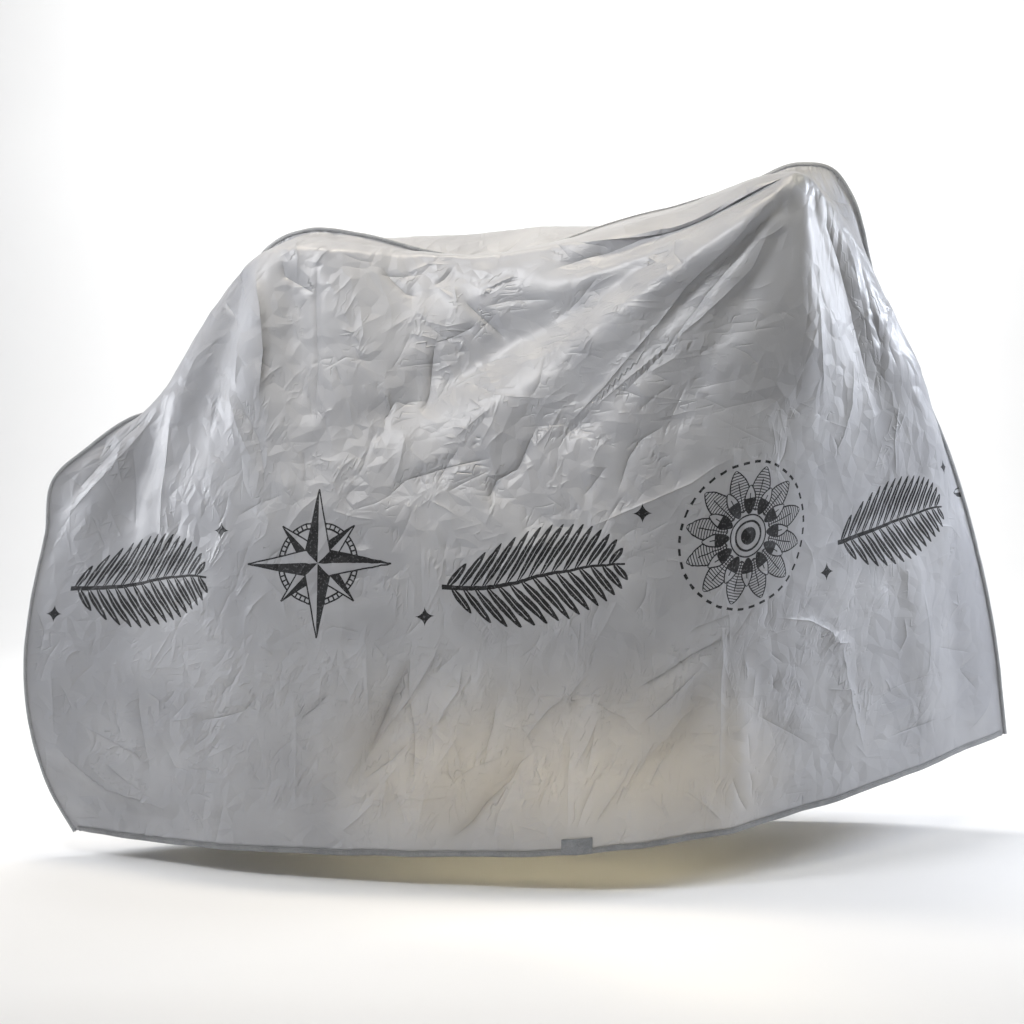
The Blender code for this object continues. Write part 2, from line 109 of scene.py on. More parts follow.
# (x, y, z) of each section at ridge, shoulder, waist and hem
nearLevels = (
    # ridge, shoulder, waist, hem
    ((-0.505, -0.048, 0.982), (-0.607, -0.054, 0.802), (-0.659, -0.075, 0.473), (-0.654, -0.048, 0.039)),
    ((-0.425, -0.088, 1.055), (-0.457, -0.125, 0.881), (-0.472, -0.182, 0.503), (-0.483, -0.131, 0.043)),
    ((-0.300, -0.098, 1.060), (-0.306, -0.140, 0.896), (-0.310, -0.226, 0.518), (-0.323, -0.179, 0.048)),
    ((-0.170, -0.075, 1.056), (-0.150, -0.134, 0.905), (-0.134, -0.250, 0.527), (-0.141, -0.220, 0.053)),
    ((0.020, -0.115, 1.059), (0.040, -0.170, 0.916), (0.055, -0.274, 0.531), (0.053, -0.248, 0.061)),
    ((0.240, -0.220, 1.096), (0.241, -0.250, 0.931), (0.239, -0.296, 0.544), (0.242, -0.253, 0.080)),
    ((0.452, -0.300, 1.158), (0.440, -0.290, 0.945), (0.427, -0.236, 0.562), (0.434, -0.175, 0.102)),
    ((0.540, -0.225, 1.078), (0.590, -0.185, 0.905), (0.646, -0.062, 0.581), (0.669, -0.026, 0.139)),
    ((0.600, -0.150, 1.020), (0.697, -0.084, 0.860), (0.789, 0.055, 0.561), (0.819, 0.104, 0.163)),
)
farLevels = (
    ((-0.500, 0.050, 0.970), (-0.600, 0.060, 0.800), (-0.668, 0.050, 0.470), (-0.650, 0.065, 0.043)),
    ((-0.425, 0.085, 1.062), (-0.455, 0.125, 0.880), (-0.480, 0.135, 0.500), (-0.480, 0.140, 0.048)),
    ((-0.290, 0.100, 1.096), (-0.305, 0.150, 0.895), (-0.315, 0.180, 0.515), (-0.320, 0.190, 0.053)),
    ((-0.130, 0.135, 1.122), (-0.140, 0.185, 0.905), (-0.135, 0.225, 0.525), (-0.140, 0.235, 0.058)),
    ((0.070, 0.205, 1.152), (0.062, 0.235, 0.925), (0.055, 0.265, 0.530), (0.053, 0.272, 0.066)),
    ((0.250, 0.175, 1.120), (0.250, 0.245, 0.930), (0.245, 0.285, 0.543), (0.240, 0.290, 0.084)),
    ((0.420, 0.085, 1.100), (0.440, 0.195, 0.925), (0.455, 0.285, 0.560), (0.450, 0.295, 0.107)),
    ((0.540, 0.015, 1.050), (0.590, 0.155, 0.880), (0.655, 0.270, 0.570), (0.675, 0.285, 0.142)),
    ((0.588, -0.030, 1.010), (0.668, 0.100, 0.830), (0.765, 0.235, 0.560), (0.800, 0.260, 0.165)),
)

# name, start, end, start width, end width, height: the broad folds. The solids have them too, apart from
# the wedge trough under the top edge, and there the fan starts softer
nearFolds = (
    ("fan ridge 1", (0.435, 1.135), (-0.05, 0.755), 0.018, 0.052, 0.019),
    ("fan trough 1", (0.405, 1.115), (-0.12, 0.845), 0.018, 0.050, -0.015),
    ("fan trough 2", (0.42, 1.095), (0.03, 0.700), 0.016, 0.045, -0.013),
    ("fan ridge 2", (0.415, 1.075), (0.11, 0.745), 0.016, 0.050, 0.012),
    ("fan trough 3", (0.41, 1.04), (0.22, 0.700), 0.018, 0.050, -0.009),
    ("wedge trough", (0.425, 1.150), (0.080, 1.025), 0.019, 0.030, -0.026),
    ("upper swell", (0.20, 1.03), (0.02, 0.955), 0.024, 0.040, 0.005),
    ("drop ridge", (0.455, 1.10), (0.475, 0.740), 0.018, 0.038, 0.009),
    ("drop trough", (0.475, 1.11), (0.620, 0.770), 0.016, 0.032, -0.010),
    ("nose ridge", (0.52, 1.11), (0.68, 0.800), 0.024, 0.032, 0.004),
    ("peak flank ridge", (-0.42, 1.03), (-0.44, 0.760), 0.024, 0.034, 0.014),
    ("peak flank trough", (-0.465, 1.00), (-0.56, 0.710), 0.022, 0.038, -0.016),
    ("peak rear ridge", (-0.50, 0.95), (-0.64, 0.640), 0.024, 0.034, 0.010),
    ("peak side trough", (-0.37, 1.01), (-0.35, 0.740), 0.024, 0.034, -0.009),
    ("middle trough", (0.02, 0.91), (-0.32, 0.720), 0.035, 0.050, -0.012),
    ("tail trough", (-0.60, 0.78), (-0.70, 0.560), 0.024, 0.036, -0.014),
    ("tail ridge", (-0.67, 0.74), (-0.78, 0.520), 0.024, 0.032, 0.009),
    ("corner ridge", (-0.80, 0.20), (-0.56, 0.100), 0.024, 0.032, 0.011),
    ("corner trough", (-0.79, 0.14), (-0.60, 0.060), 0.024, 0.026, -0.008),
    ("low trough rear", (-0.13, 0.37), (-0.27, 0.150), 0.024, 0.034, -0.013),
    ("low ridge rear", (-0.05, 0.34), (-0.17, 0.090), 0.024, 0.034, 0.010),
    ("low trough middle", (0.04, 0.28), (-0.08, 0.080), 0.024, 0.032, -0.012),
    ("hem ridge middle", (0.14, 0.34), (0.12, 0.080), 0.024, 0.034, 0.011),
    ("low trough front", (0.31, 0.35), (0.18, 0.110), 0.024, 0.034, -0.014),
    ("hem ridge front", (0.37, 0.35), (0.36, 0.090), 0.024, 0.036, 0.011),
    ("front low ridge", (0.70, 0.52), (0.76, 0.170), 0.024, 0.040, 0.011),
    ("front low trough", (0.80, 0.50), (0.84, 0.190), 0.024, 0.030, -0.009),
)
farFolds = (
    ("fan ridge 1", (0.06, 1.10), (-0.14, 0.700), 0.024, 0.055, 0.016),
    ("fan trough 1", (0.08, 1.08), (-0.02, 0.640), 0.024, 0.048, -0.015),
    ("fan ridge 2", (0.10, 1.08), (0.09, 0.620), 0.024, 0.045, 0.013),
    ("fan trough 2", (0.12, 1.08), (0.25, 0.660), 0.024, 0.052, -0.016),
    ("fan ridge 3", (0.15, 1.10), (0.41, 0.720), 0.024, 0.055, 0.015),
    ("nose trough", (0.50, 1.06), (0.60, 0.700), 0.024, 0.040, -0.014),
    ("peak flank ridge", (-0.42, 1.03), (-0.45, 0.760), 0.024, 0.034, 0.014),
    ("peak flank trough", (-0.46, 1.00), (-0.58, 0.700), 0.024, 0.038, -0.015),
    ("tail trough", (-0.60, 0.78), (-0.70, 0.560), 0.024, 0.036, -0.012),
    ("low ridge rear", (-0.40, 0.44), (-0.44, 0.070), 0.026, 0.042, 0.014),
    ("low trough middle", (-0.12, 0.42), (-0.18, 0.070), 0.026, 0.040, -0.012),
    ("low ridge middle", (0.10, 0.40), (0.08, 0.080), 0.026, 0.040, 0.012),
    ("low trough front", (0.36, 0.38), (0.34, 0.100), 0.026, 0.040, -0.014),
    ("front low ridge", (0.66, 0.48), (0.70, 0.160), 0.026, 0.040, 0.012),
)

# name, (x, z) along it, half width, height, skew towards one flank: the creases that only the looks have
nearCreases = (
    ("peak edge fold", ((-0.430, 1.020), (-0.420, 0.955), (-0.415, 0.880),
     (-0.420, 0.800)), 0.014, 0.0090, -0.7),
    ("peak packing line", ((-0.330, 1.030), (-0.330, 0.955), (-0.325, 0.850),
     (-0.330, 0.770)), 0.006, -0.0018, 0.0),
    ("peak flank crease", ((-0.455, 0.910), (-0.460, 0.825)), 0.007, 0.0026, 0.0),
    ("peak slope line", ((-0.475, 0.815), (-0.455, 0.755), (-0.430, 0.700)), 0.006, 0.0022, 0.3),
    ("peak slope line low", ((-0.460, 0.815), (-0.420, 0.735), (-0.410, 0.680),
     (-0.410, 0.640)), 0.006, -0.0020, 0.3),
    ("rear slope tick", ((-0.495, 0.840), (-0.505, 0.805), (-0.515, 0.750)), 0.006, -0.0026, 0.4),
    ("peak corner hook", ((-0.390, 1.040), (-0.385, 1.015), (-0.335, 0.985)), 0.006, -0.0024, 0.3),
    ("tail band", ((-0.630, 0.785), (-0.675, 0.745), (-0.720, 0.700), (-0.765, 0.650)), 0.014, -0.0060, 0.3),
    ("tail band edge", ((-0.615, 0.790), (-0.660, 0.730), (-0.710, 0.670),
     (-0.775, 0.610)), 0.008, 0.0032, -0.3),
    ("tail tuck", ((-0.715, 0.745), (-0.730, 0.695)), 0.007, -0.0026, 0.2),
    ("tail line", ((-0.660, 0.720), (-0.660, 0.650), (-0.655, 0.590)), 0.006, -0.0022, 0.3),
    ("tail line front", ((-0.585, 0.780), (-0.590, 0.710), (-0.600, 0.640),
     (-0.600, 0.550)), 0.007, 0.0020, 0.2),
    ("tail dent", ((-0.730, 0.605), (-0.720, 0.575), (-0.710, 0.550)), 0.007, -0.0020, 0.2),
    ("tail dent rear", ((-0.775, 0.620), (-0.775, 0.575)), 0.007, 0.0020, 0.2),
    ("rear flank line", ((-0.345, 0.715), (-0.340, 0.655)), 0.006, -0.0016, 0.2),
    ("rear flank diagonal", ((-0.315, 0.645), (-0.345, 0.620), (-0.370, 0.585)), 0.006, 0.0018, 0.2),
    ("rear flank swell", ((-0.455, 0.610), (-0.420, 0.630), (-0.380, 0.645)), 0.012, -0.0026, 0.0),
    ("sag crease rear", ((-0.220, 1.030), (-0.200, 1.005), (-0.180, 0.985),
     (-0.160, 0.980)), 0.006, -0.0032, 0.4),
    ("sag hook", ((-0.100, 1.030), (-0.115, 1.010), (-0.130, 1.000)), 0.006, -0.0022, 0.3),
    ("sag crease middle", ((-0.125, 0.995), (-0.100, 0.975)), 0.006, 0.0020, 0.3),
    ("sag crease front", ((-0.080, 0.970), (-0.060, 0.950), (-0.030, 0.925),
     (-0.015, 0.910)), 0.007, -0.0042, 0.5),
    ("sag line", ((-0.050, 0.960), (0.000, 0.970), (0.065, 0.970)), 0.007, -0.0016, 0.2),
    ("middle fold corner", ((-0.060, 0.930), (-0.100, 0.910), (-0.130, 0.900)), 0.008, -0.0030, 0.2),
    ("middle fold edge", ((-0.130, 0.900), (-0.135, 0.860), (-0.140, 0.820),
     (-0.150, 0.785)), 0.007, -0.0036, 0.5),
    ("small star left", ((-0.210, 0.775), (-0.200, 0.795), (-0.195, 0.805)), 0.006, -0.0030, 0.3),
    ("small star right", ((-0.195, 0.805), (-0.180, 0.800), (-0.160, 0.800)), 0.006, -0.0022, 0.3),
    ("middle line", ((-0.175, 0.745), (-0.185, 0.690), (-0.195, 0.665)), 0.006, 0.0022, 0.2),
    ("fan trough line", ((0.040, 0.755), (0.025, 0.725), (0.010, 0.690),
     (-0.025, 0.670), (-0.040, 0.635)), 0.007, -0.0038, 0.4),
    ("fan trough tail", ((-0.030, 0.705), (-0.110, 0.690), (-0.175, 0.670),
     (-0.205, 0.640)), 0.012, -0.0034, 0.2),
    ("fan tail line", ((-0.035, 0.685), (-0.080, 0.665), (-0.105, 0.650)), 0.006, -0.0020, 0.3),
    ("pucker 1", ((0.015, 0.755), (0.080, 0.760), (0.150, 0.765)), 0.006, -0.0016, 0.2),
    ("pucker 2", ((0.045, 0.750), (0.125, 0.755)), 0.006, 0.0014, 0.2),
    ("pucker 3", ((0.080, 0.750), (0.130, 0.760)), 0.006, -0.0015, 0.2),
    ("pucker 4", ((0.220, 0.885), (0.300, 0.895)), 0.006, -0.0013, 0.2),
    ("pucker 5", ((0.245, 0.860), (0.330, 0.875)), 0.006, 0.0013, 0.2),
    ("pucker 6", ((0.280, 0.815), (0.365, 0.830)), 0.006, -0.0013, 0.2),
    ("pucker 7", ((0.205, 0.805), (0.300, 0.795)), 0.006, 0.0012, 0.2),
    ("pucker 8", ((0.315, 0.780), (0.415, 0.800)), 0.006, -0.0014, 0.2),
    ("pucker 9", ((0.235, 0.770), (0.305, 0.785)), 0.006, 0.0013, 0.2),
    ("fan corner line", ((0.150, 0.690), (0.115, 0.645)), 0.006, -0.0026, 0.3),
    ("fan arc", ((0.240, 0.755), (0.205, 0.735), (0.185, 0.705), (0.170, 0.655)), 0.012, -0.0030, 0.4),
    ("long line", ((0.350, 0.705), (0.320, 0.690), (0.285, 0.665),
     (0.205, 0.630), (0.125, 0.595)), 0.006, 0.0028, 0.4),
    ("ridge valley", ((0.430, 1.150), (0.340, 1.124), (0.269, 1.102), (0.192, 1.072),
     (0.120, 1.045), (0.060, 1.020)), 0.017, -0.0062, 0.4),
    ("fan ridge edge", ((0.430, 1.128), (0.338, 1.036), (0.278, 0.980), (0.227, 0.910),
     (0.152, 0.820), (0.080, 0.750)), 0.026, 0.0085, -0.65),
    ("fan second edge", ((0.405, 1.065), (0.379, 1.006), (0.301, 0.926), (0.126, 0.780)), 0.018, 0.0050, -0.5),
    ("fan valley", ((0.380, 1.050), (0.310, 0.965), (0.250, 0.880), (0.180, 0.810)), 0.010, -0.0034, 0.2),
    ("fan rib", ((0.428, 1.128), (0.372, 1.072), (0.334, 1.030)), 0.007, 0.0036, -0.4),
    ("drop valley", ((0.500, 1.155), (0.505, 1.075), (0.530, 1.020), (0.560, 0.940),
     (0.585, 0.870), (0.605, 0.815)), 0.009, -0.0023, 0.3),
    ("drop rib", ((0.515, 1.165), (0.520, 1.085), (0.550, 1.025), (0.570, 0.965)), 0.007, 0.0026, -0.3),
    ("nose tick 1", ((0.510, 1.155), (0.535, 1.135), (0.570, 1.135)), 0.006, -0.0026, 0.3),
    ("nose tick 2", ((0.535, 1.110), (0.560, 1.105)), 0.006, -0.0022, 0.3),
    ("drop band edge", ((0.485, 0.955), (0.490, 0.885), (0.500, 0.815)), 0.009, 0.0024, -0.4),
    ("front flank tick", ((0.590, 0.940), (0.600, 0.920), (0.615, 0.890)), 0.006, -0.0024, 0.3),
    ("front flank line", ((0.565, 0.865), (0.560, 0.790), (0.545, 0.740), (0.530, 0.705)), 0.006, 0.0024, 0.3),
    ("front flank swell", ((0.655, 0.800), (0.650, 0.735), (0.660, 0.680)), 0.012, 0.0026, 0.2),
    ("corner crease", ((-0.800, 0.195), (-0.750, 0.155), (-0.710, 0.125),
     (-0.650, 0.115), (-0.595, 0.100)), 0.008, 0.0046, -0.4),
    ("corner crease upper", ((-0.755, 0.235), (-0.705, 0.215), (-0.655, 0.195),
     (-0.635, 0.175)), 0.007, 0.0030, -0.3),
    ("corner crease lower", ((-0.710, 0.175), (-0.665, 0.140), (-0.620, 0.115)), 0.007, -0.0022, 0.2),
    ("corner tick", ((-0.780, 0.065), (-0.730, 0.070)), 0.006, -0.0020, 0.2),
    ("rear low line", ((-0.645, 0.310), (-0.645, 0.275), (-0.640, 0.230),
     (-0.625, 0.150)), 0.006, -0.0018, 0.3),
    ("rear low pucker", ((-0.550, 0.295), (-0.585, 0.255)), 0.006, -0.0020, 0.3),
    ("rear low pucker 2", ((-0.585, 0.255), (-0.545, 0.265), (-0.535, 0.280)), 0.006, 0.0018, 0.3),
    ("rear low hook", ((-0.595, 0.205), (-0.580, 0.175), (-0.550, 0.170)), 0.006, -0.0020, 0.3),
    ("rear low tuck", ((-0.690, 0.285), (-0.690, 0.245), (-0.680, 0.220)), 0.006, -0.0020, 0.3),
    ("rear edge line", ((-0.815, 0.335), (-0.810, 0.280), (-0.810, 0.220)), 0.006, 0.0018, 0.2),
    ("rear edge dent", ((-0.795, 0.305), (-0.775, 0.265)), 0.007, -0.0020, 0.2),
    ("middle low wave", ((-0.415, 0.320), (-0.445, 0.285), (-0.490, 0.270),
     (-0.535, 0.260)), 0.008, -0.0034, 0.4),
    ("middle low tick", ((-0.460, 0.335), (-0.485, 0.315), (-0.490, 0.290)), 0.006, -0.0022, 0.3),
    ("middle low tick 2", ((-0.360, 0.345), (-0.390, 0.315)), 0.006, 0.0018, 0.3),
    ("low crease rear", ((-0.300, 0.320), (-0.325, 0.295), (-0.350, 0.275)), 0.007, -0.0040, 0.5),
    ("low line rear", ((-0.310, 0.350), (-0.315, 0.315)), 0.006, 0.0018, 0.2),
    ("rear packing line", ((-0.360, 0.330), (-0.355, 0.260), (-0.360, 0.170),
     (-0.360, 0.125)), 0.006, 0.0014, 0.2),
    ("rear packing cross", ((-0.365, 0.120), (-0.345, 0.130), (-0.305, 0.135)), 0.006, 0.0016, 0.2),
    ("low swell rear", ((-0.490, 0.235), (-0.525, 0.190)), 0.010, -0.0022, 0.2),
    ("low fold trough", ((-0.170, 0.370), (-0.190, 0.320), (-0.215, 0.265),
     (-0.235, 0.220), (-0.245, 0.200)), 0.010, -0.0060, 0.4),
    ("low fold edge", ((-0.115, 0.405), (-0.145, 0.350), (-0.170, 0.310),
     (-0.205, 0.265), (-0.235, 0.215)), 0.006, 0.0032, -0.4),
    ("low line", ((-0.165, 0.380), (-0.170, 0.310), (-0.160, 0.250), (-0.160, 0.180)), 0.006, -0.0030, 0.4),
    ("low tick", ((-0.150, 0.255), (-0.155, 0.245)), 0.006, 0.0020, 0.2),
    ("low fold diagonal", ((-0.170, 0.240), (-0.200, 0.210), (-0.245, 0.175)), 0.007, -0.0040, 0.4),
    ("low ridge", ((-0.080, 0.370), (-0.085, 0.330), (-0.110, 0.295), (-0.120, 0.270)), 0.008, 0.0032, -0.2),
    ("low dart", ((-0.025, 0.310), (-0.030, 0.275), (-0.040, 0.240), (-0.045, 0.200)), 0.007, -0.0032, 0.4),
    ("low dart ridge", ((-0.095, 0.260), (-0.085, 0.220), (-0.080, 0.180)), 0.006, 0.0018, 0.2),
    ("star crease upper", ((0.120, 0.360), (0.090, 0.325), (0.060, 0.305),
     (0.030, 0.265), (0.015, 0.245)), 0.007, 0.0040, -0.4),
    ("long fold", ((0.035, 0.230), (0.010, 0.210), (-0.005, 0.180), (-0.040, 0.145),
     (-0.065, 0.110), (-0.095, 0.085)), 0.009, -0.0060, 0.5),
    ("star crease left", ((0.030, 0.325), (0.075, 0.325), (0.150, 0.330)), 0.006, 0.0024, 0.3),
    ("star crease right", ((0.130, 0.320), (0.160, 0.300), (0.190, 0.285)), 0.006, -0.0024, 0.3),
    ("hem fold soft", ((-0.005, 0.165), (-0.025, 0.125), (-0.030, 0.090)), 0.009, -0.0026, 0.2),
    ("hem cross line", ((-0.185, 0.150), (-0.145, 0.150), (-0.100, 0.155)), 0.006, 0.0022, 0.3),
    ("hem cross drop", ((-0.190, 0.160), (-0.185, 0.135), (-0.175, 0.110)), 0.006, -0.0024, 0.3),
    ("low tuck", ((-0.200, 0.175), (-0.195, 0.155)), 0.006, -0.0022, 0.3),
    ("hem facets", ((-0.225, 0.140), (-0.255, 0.110), (-0.280, 0.090)), 0.007, 0.0030, -0.4),
    ("patch line", ((0.095, 0.265), (0.090, 0.190), (0.090, 0.105)), 0.006, -0.0018, 0.3),
    ("patch fold", ((0.135, 0.285), (0.130, 0.250), (0.120, 0.200)), 0.007, -0.0024, 0.3),
    ("patch shade", ((0.170, 0.230), (0.135, 0.190), (0.115, 0.140), (0.105, 0.105)), 0.009, -0.0032, 0.3),
    ("low vertical", ((-0.235, 0.400), (-0.235, 0.315), (-0.235, 0.280)), 0.006, 0.0022, 0.3),
    ("low light line", ((-0.250, 0.340), (-0.265, 0.310)), 0.006, 0.0020, 0.3),
    ("low light line 2", ((-0.285, 0.390), (-0.295, 0.360)), 0.006, 0.0018, 0.3),
    ("front low crease", ((0.360, 0.425), (0.290, 0.390), (0.240, 0.360), (0.195, 0.335)), 0.007, -0.0040, 0.4),
    ("front low ridge", ((0.305, 0.370), (0.275, 0.345), (0.245, 0.315), (0.205, 0.280)), 0.007, 0.0042, -0.5),
    ("front packing line", ((0.340, 0.410), (0.335, 0.315), (0.335, 0.180)), 0.009, 0.0030, -0.7),
    ("front packing shade", ((0.355, 0.185), (0.370, 0.150), (0.385, 0.125)), 0.010, -0.0030, 0.3),
    ("front hem ridge", ((0.275, 0.170), (0.315, 0.140), (0.340, 0.115)), 0.007, 0.0030, 0.3),
    ("front hem fold 1", ((0.270, 0.250), (0.240, 0.210), (0.220, 0.170)), 0.008, 0.0030, -0.3),
    ("front hem fold 2", ((0.175, 0.250), (0.160, 0.210), (0.135, 0.190)), 0.008, 0.0030, -0.3),
    ("front hem fold 3", ((0.200, 0.225), (0.180, 0.180), (0.135, 0.115)), 0.008, -0.0034, 0.3),
    ("front hem fold 4", ((0.230, 0.245), (0.205, 0.195), (0.180, 0.150)), 0.008, -0.0024, 0.3),
    ("front cross tick", ((0.285, 0.260), (0.335, 0.260)), 0.006, -0.0018, 0.2),
    ("front low line", ((0.400, 0.285), (0.460, 0.250), (0.500, 0.225)), 0.006, -0.0020, 0.3),
    ("front low line 2", ((0.390, 0.285), (0.355, 0.260)), 0.006, 0.0020, 0.3),
    ("front low vertical", ((0.395, 0.355), (0.390, 0.310)), 0.006, 0.0020, 0.3),
    ("front low tick", ((0.425, 0.385), (0.445, 0.370)), 0.006, -0.0024, 0.3),
    ("front arc", ((0.430, 0.445), (0.495, 0.435), (0.535, 0.415), (0.560, 0.380), (0.570, 0.335),
     (0.580, 0.290), (0.590, 0.255), (0.610, 0.200)), 0.010, 0.0042, -0.6),
    ("front arc pucker 1", ((0.535, 0.395), (0.580, 0.390)), 0.006, 0.0026, 0.3),
    ("front arc pucker 2", ((0.535, 0.315), (0.580, 0.310)), 0.006, 0.0026, 0.3),
    ("front soft line", ((0.355, 0.455), (0.325, 0.445), (0.295, 0.435), (0.275, 0.420)), 0.007, -0.0022, 0.3),
    ("front flank ridge", ((0.730, 0.470), (0.740, 0.395), (0.735, 0.305)), 0.012, 0.0030, 0.3),
    ("front corner blotch", ((0.870, 0.340), (0.835, 0.315), (0.870, 0.275)), 0.010, -0.0026, 0.2),
    ("front corner dent", ((0.770, 0.365), (0.815, 0.355), (0.855, 0.345)), 0.010, -0.0024, 0.2),
    ("front hem crease", ((0.765, 0.235), (0.715, 0.225), (0.665, 0.215)), 0.008, -0.0036, 0.4),
    ("front hem line", ((0.715, 0.270), (0.645, 0.255)), 0.006, 0.0018, 0.3),
    ("front hem line 2", ((0.740, 0.320), (0.670, 0.300), (0.610, 0.270)), 0.007, -0.0018, 0.3),
    ("front corner facet", ((0.905, 0.250), (0.885, 0.230), (0.860, 0.205)), 0.008, 0.0026, 0.3),
)

farCreases = (
    ("fan valley front", ((0.14, 1.06), (0.22, 0.92), (0.33, 0.76), (0.42, 0.66)), 0.009, -0.0048, 0.4),
    ("fan valley middle", ((0.09, 1.08), (0.05, 0.92), (0.03, 0.76), (0.04, 0.60)), 0.009, -0.0044, -0.3),
    ("fan valley rear", ((0.04, 1.08), (-0.08, 0.92), (-0.20, 0.78), (-0.30, 0.70)), 0.008, -0.0042, 0.4),
    ("fan rib", ((0.11, 1.07), (0.13, 0.90), (0.19, 0.72)), 0.008, 0.0034, -0.3),
    ("far ridge tick", ((0.02, 1.11), (-0.04, 1.05), (-0.06, 0.99)), 0.006, -0.0026, 0.3),
    ("peak edge fold", ((-0.42, 1.02), (-0.43, 0.94), (-0.45, 0.82)), 0.010, 0.0050, 0.5),
    ("peak side line", ((-0.30, 1.05), (-0.31, 0.92), (-0.29, 0.78)), 0.006, -0.0022, 0.2),
    ("peak corner hook", ((-0.37, 1.03), (-0.33, 1.00), (-0.28, 0.99)), 0.006, -0.0026, 0.3),
    ("sag crease rear", ((-0.21, 1.06), (-0.16, 1.00), (-0.12, 0.97)), 0.006, -0.0034, 0.4),
    ("sag crease front", ((-0.12, 0.93), (-0.05, 0.88), (-0.01, 0.82)), 0.007, -0.0036, 0.4),
    ("tail band", ((-0.62, 0.78), (-0.68, 0.72), (-0.76, 0.64)), 0.012, -0.0055, 0.3),
    ("tail line", ((-0.65, 0.71), (-0.66, 0.60)), 0.006, -0.0022, 0.2),
    ("tail dent", ((-0.73, 0.60), (-0.70, 0.53)), 0.007, -0.0022, 0.2),
    ("long line rear", ((-0.52, 0.58), (-0.40, 0.63), (-0.28, 0.66)), 0.006, 0.0026, 0.4),
    ("long line front", ((0.50, 0.62), (0.58, 0.55), (0.66, 0.50)), 0.006, -0.0026, 0.4),
    ("nose tick", ((0.53, 1.10), (0.56, 1.02), (0.58, 0.94)), 0.008, -0.0040, 0.3),
    ("front flank line", ((0.66, 0.82), (0.70, 0.70), (0.71, 0.58)), 0.008, 0.0030, 0.3),
    ("corner crease", ((-0.80, 0.19), (-0.73, 0.14), (-0.62, 0.10)), 0.008, 0.0044, -0.4),
    ("corner crease upper", ((-0.76, 0.26), (-0.68, 0.22), (-0.63, 0.17)), 0.007, -0.0030, 0.3),
    ("low fold rear", ((-0.36, 0.38), (-0.42, 0.28), (-0.46, 0.16)), 0.009, -0.0050, 0.4),
    ("low fold middle", ((-0.08, 0.36), (-0.15, 0.25), (-0.22, 0.12)), 0.009, -0.0055, 0.4),
    ("low fold cross", ((-0.10, 0.29), (0.00, 0.30), (0.08, 0.28)), 0.006, 0.0026, 0.3),
    ("star crease", ((0.08, 0.28), (0.15, 0.35), (0.21, 0.38)), 0.007, -0.0036, 0.4),
    ("low dart", ((0.11, 0.27), (0.13, 0.18), (0.12, 0.10)), 0.008, -0.0034, 0.3),
    ("low fold front", ((0.36, 0.36), (0.30, 0.26), (0.22, 0.17)), 0.009, -0.0050, 0.4),
    ("hem facet front", ((0.47, 0.30), (0.50, 0.21), (0.48, 0.14)), 0.008, 0.0036, -0.3),
    ("packing line", ((0.24, 0.74), (0.25, 0.50), (0.25, 0.20)), 0.007, 0.0020, -0.6),
    ("packing line rear", ((-0.28, 0.62), (-0.28, 0.40), (-0.28, 0.14)), 0.007, -0.0018, 0.5),
    ("front low ridge", ((0.66, 0.46), (0.69, 0.34), (0.68, 0.21)), 0.010, 0.0032, 0.3),
    ("front hem crease", ((0.74, 0.26), (0.66, 0.23), (0.58, 0.20)), 0.008, -0.0034, 0.4),
)


def unit(vectors):
    return vectors / np.linalg.norm(vectors, axis=-1, keepdims=True)


def easedCurve(knots, values, places):
    # a smooth curve through the values at the knots, read at the places
    knots = np.asarray(knots, float)
    values = np.asarray(values, float)
    steps = np.diff(knots).reshape((-1,) + (1,) * (values.ndim - 1))
    slopes = np.diff(values, axis=0) / steps
    tangents = np.empty_like(values)
    tangents[0] = slopes[0]
    tangents[-1] = slopes[-1]
    tangents[1:-1] = (slopes[:-1] * steps[1:] + slopes[1:] * steps[:-1]) / (steps[1:] + steps[:-1])
    at = np.clip(np.searchsorted(knots, places, side="right") - 1, 0, len(knots) - 2)
    t = ((places - knots[at]) / (knots[at + 1] - knots[at])).reshape((-1,) + (1,) * (values.ndim - 1))
    span = steps[at]
    return (
        (2 * t**3 - 3 * t**2 + 1) * values[at]
        + (t**3 - 2 * t**2 + t) * span * tangents[at]
        + (3 * t**2 - 2 * t**3) * values[at + 1]
        + (t**3 - t**2) * span * tangents[at + 1]
    )


def lengthsAlong(points):
    steps = np.linalg.norm(np.diff(points, axis=0), axis=-1)
    return np.concatenate([[0.0], np.cumsum(steps)])


def seamStretch(first, last, shares):
    # points and leans at these shares of the seam's length between two named places
    names = [row[0] for row in seamRows]
    points = np.array([row[1:4] for row in seamRows])
    leans = np.array([row[4] for row in seamRows], float)
    knots = lengthsAlong(points)
    start = knots[names.index(first)]
    places = start + (knots[names.index(last)] - start) * np.asarray(shares)
    return easedCurve(knots, points, places), easedCurve(knots, leans, places)


# the net of points that each panel is built on
net = {
    "columns": 292,  # from the rear seam to the front seam
    "topRows": 26,  # from the seam to the ridge
    "sideRows": 130,  # from the ridge to the hem
    "hemShare": 0.010,  # height of the last row
    "sidePower": 1.12,  # above 1, the side's rows lie closer together at the ridge
    "edgePower": 8,  # how soon a change at an edge dies out over the rows
}


def rowShares():
    ridge = hang["levelShares"][1]
    top = ridge * np.linspace(0, 1, net["topRows"], endpoint=False)
    side = np.linspace(0, 1, net["sideRows"]) ** net["sidePower"]
    return np.concatenate([top, ridge + (1 - net["hemShare"] - ridge) * side, [1.0]])


def columnShares():
    columns = np.linspace(0, 1, net["columns"])
    places = [0.0, *(row[1] for row in sectionRows), 1.0]
    shares = [0.0, *(row[2] for row in sectionRows), 1.0]
    return columns, easedCurve(places, shares, columns)


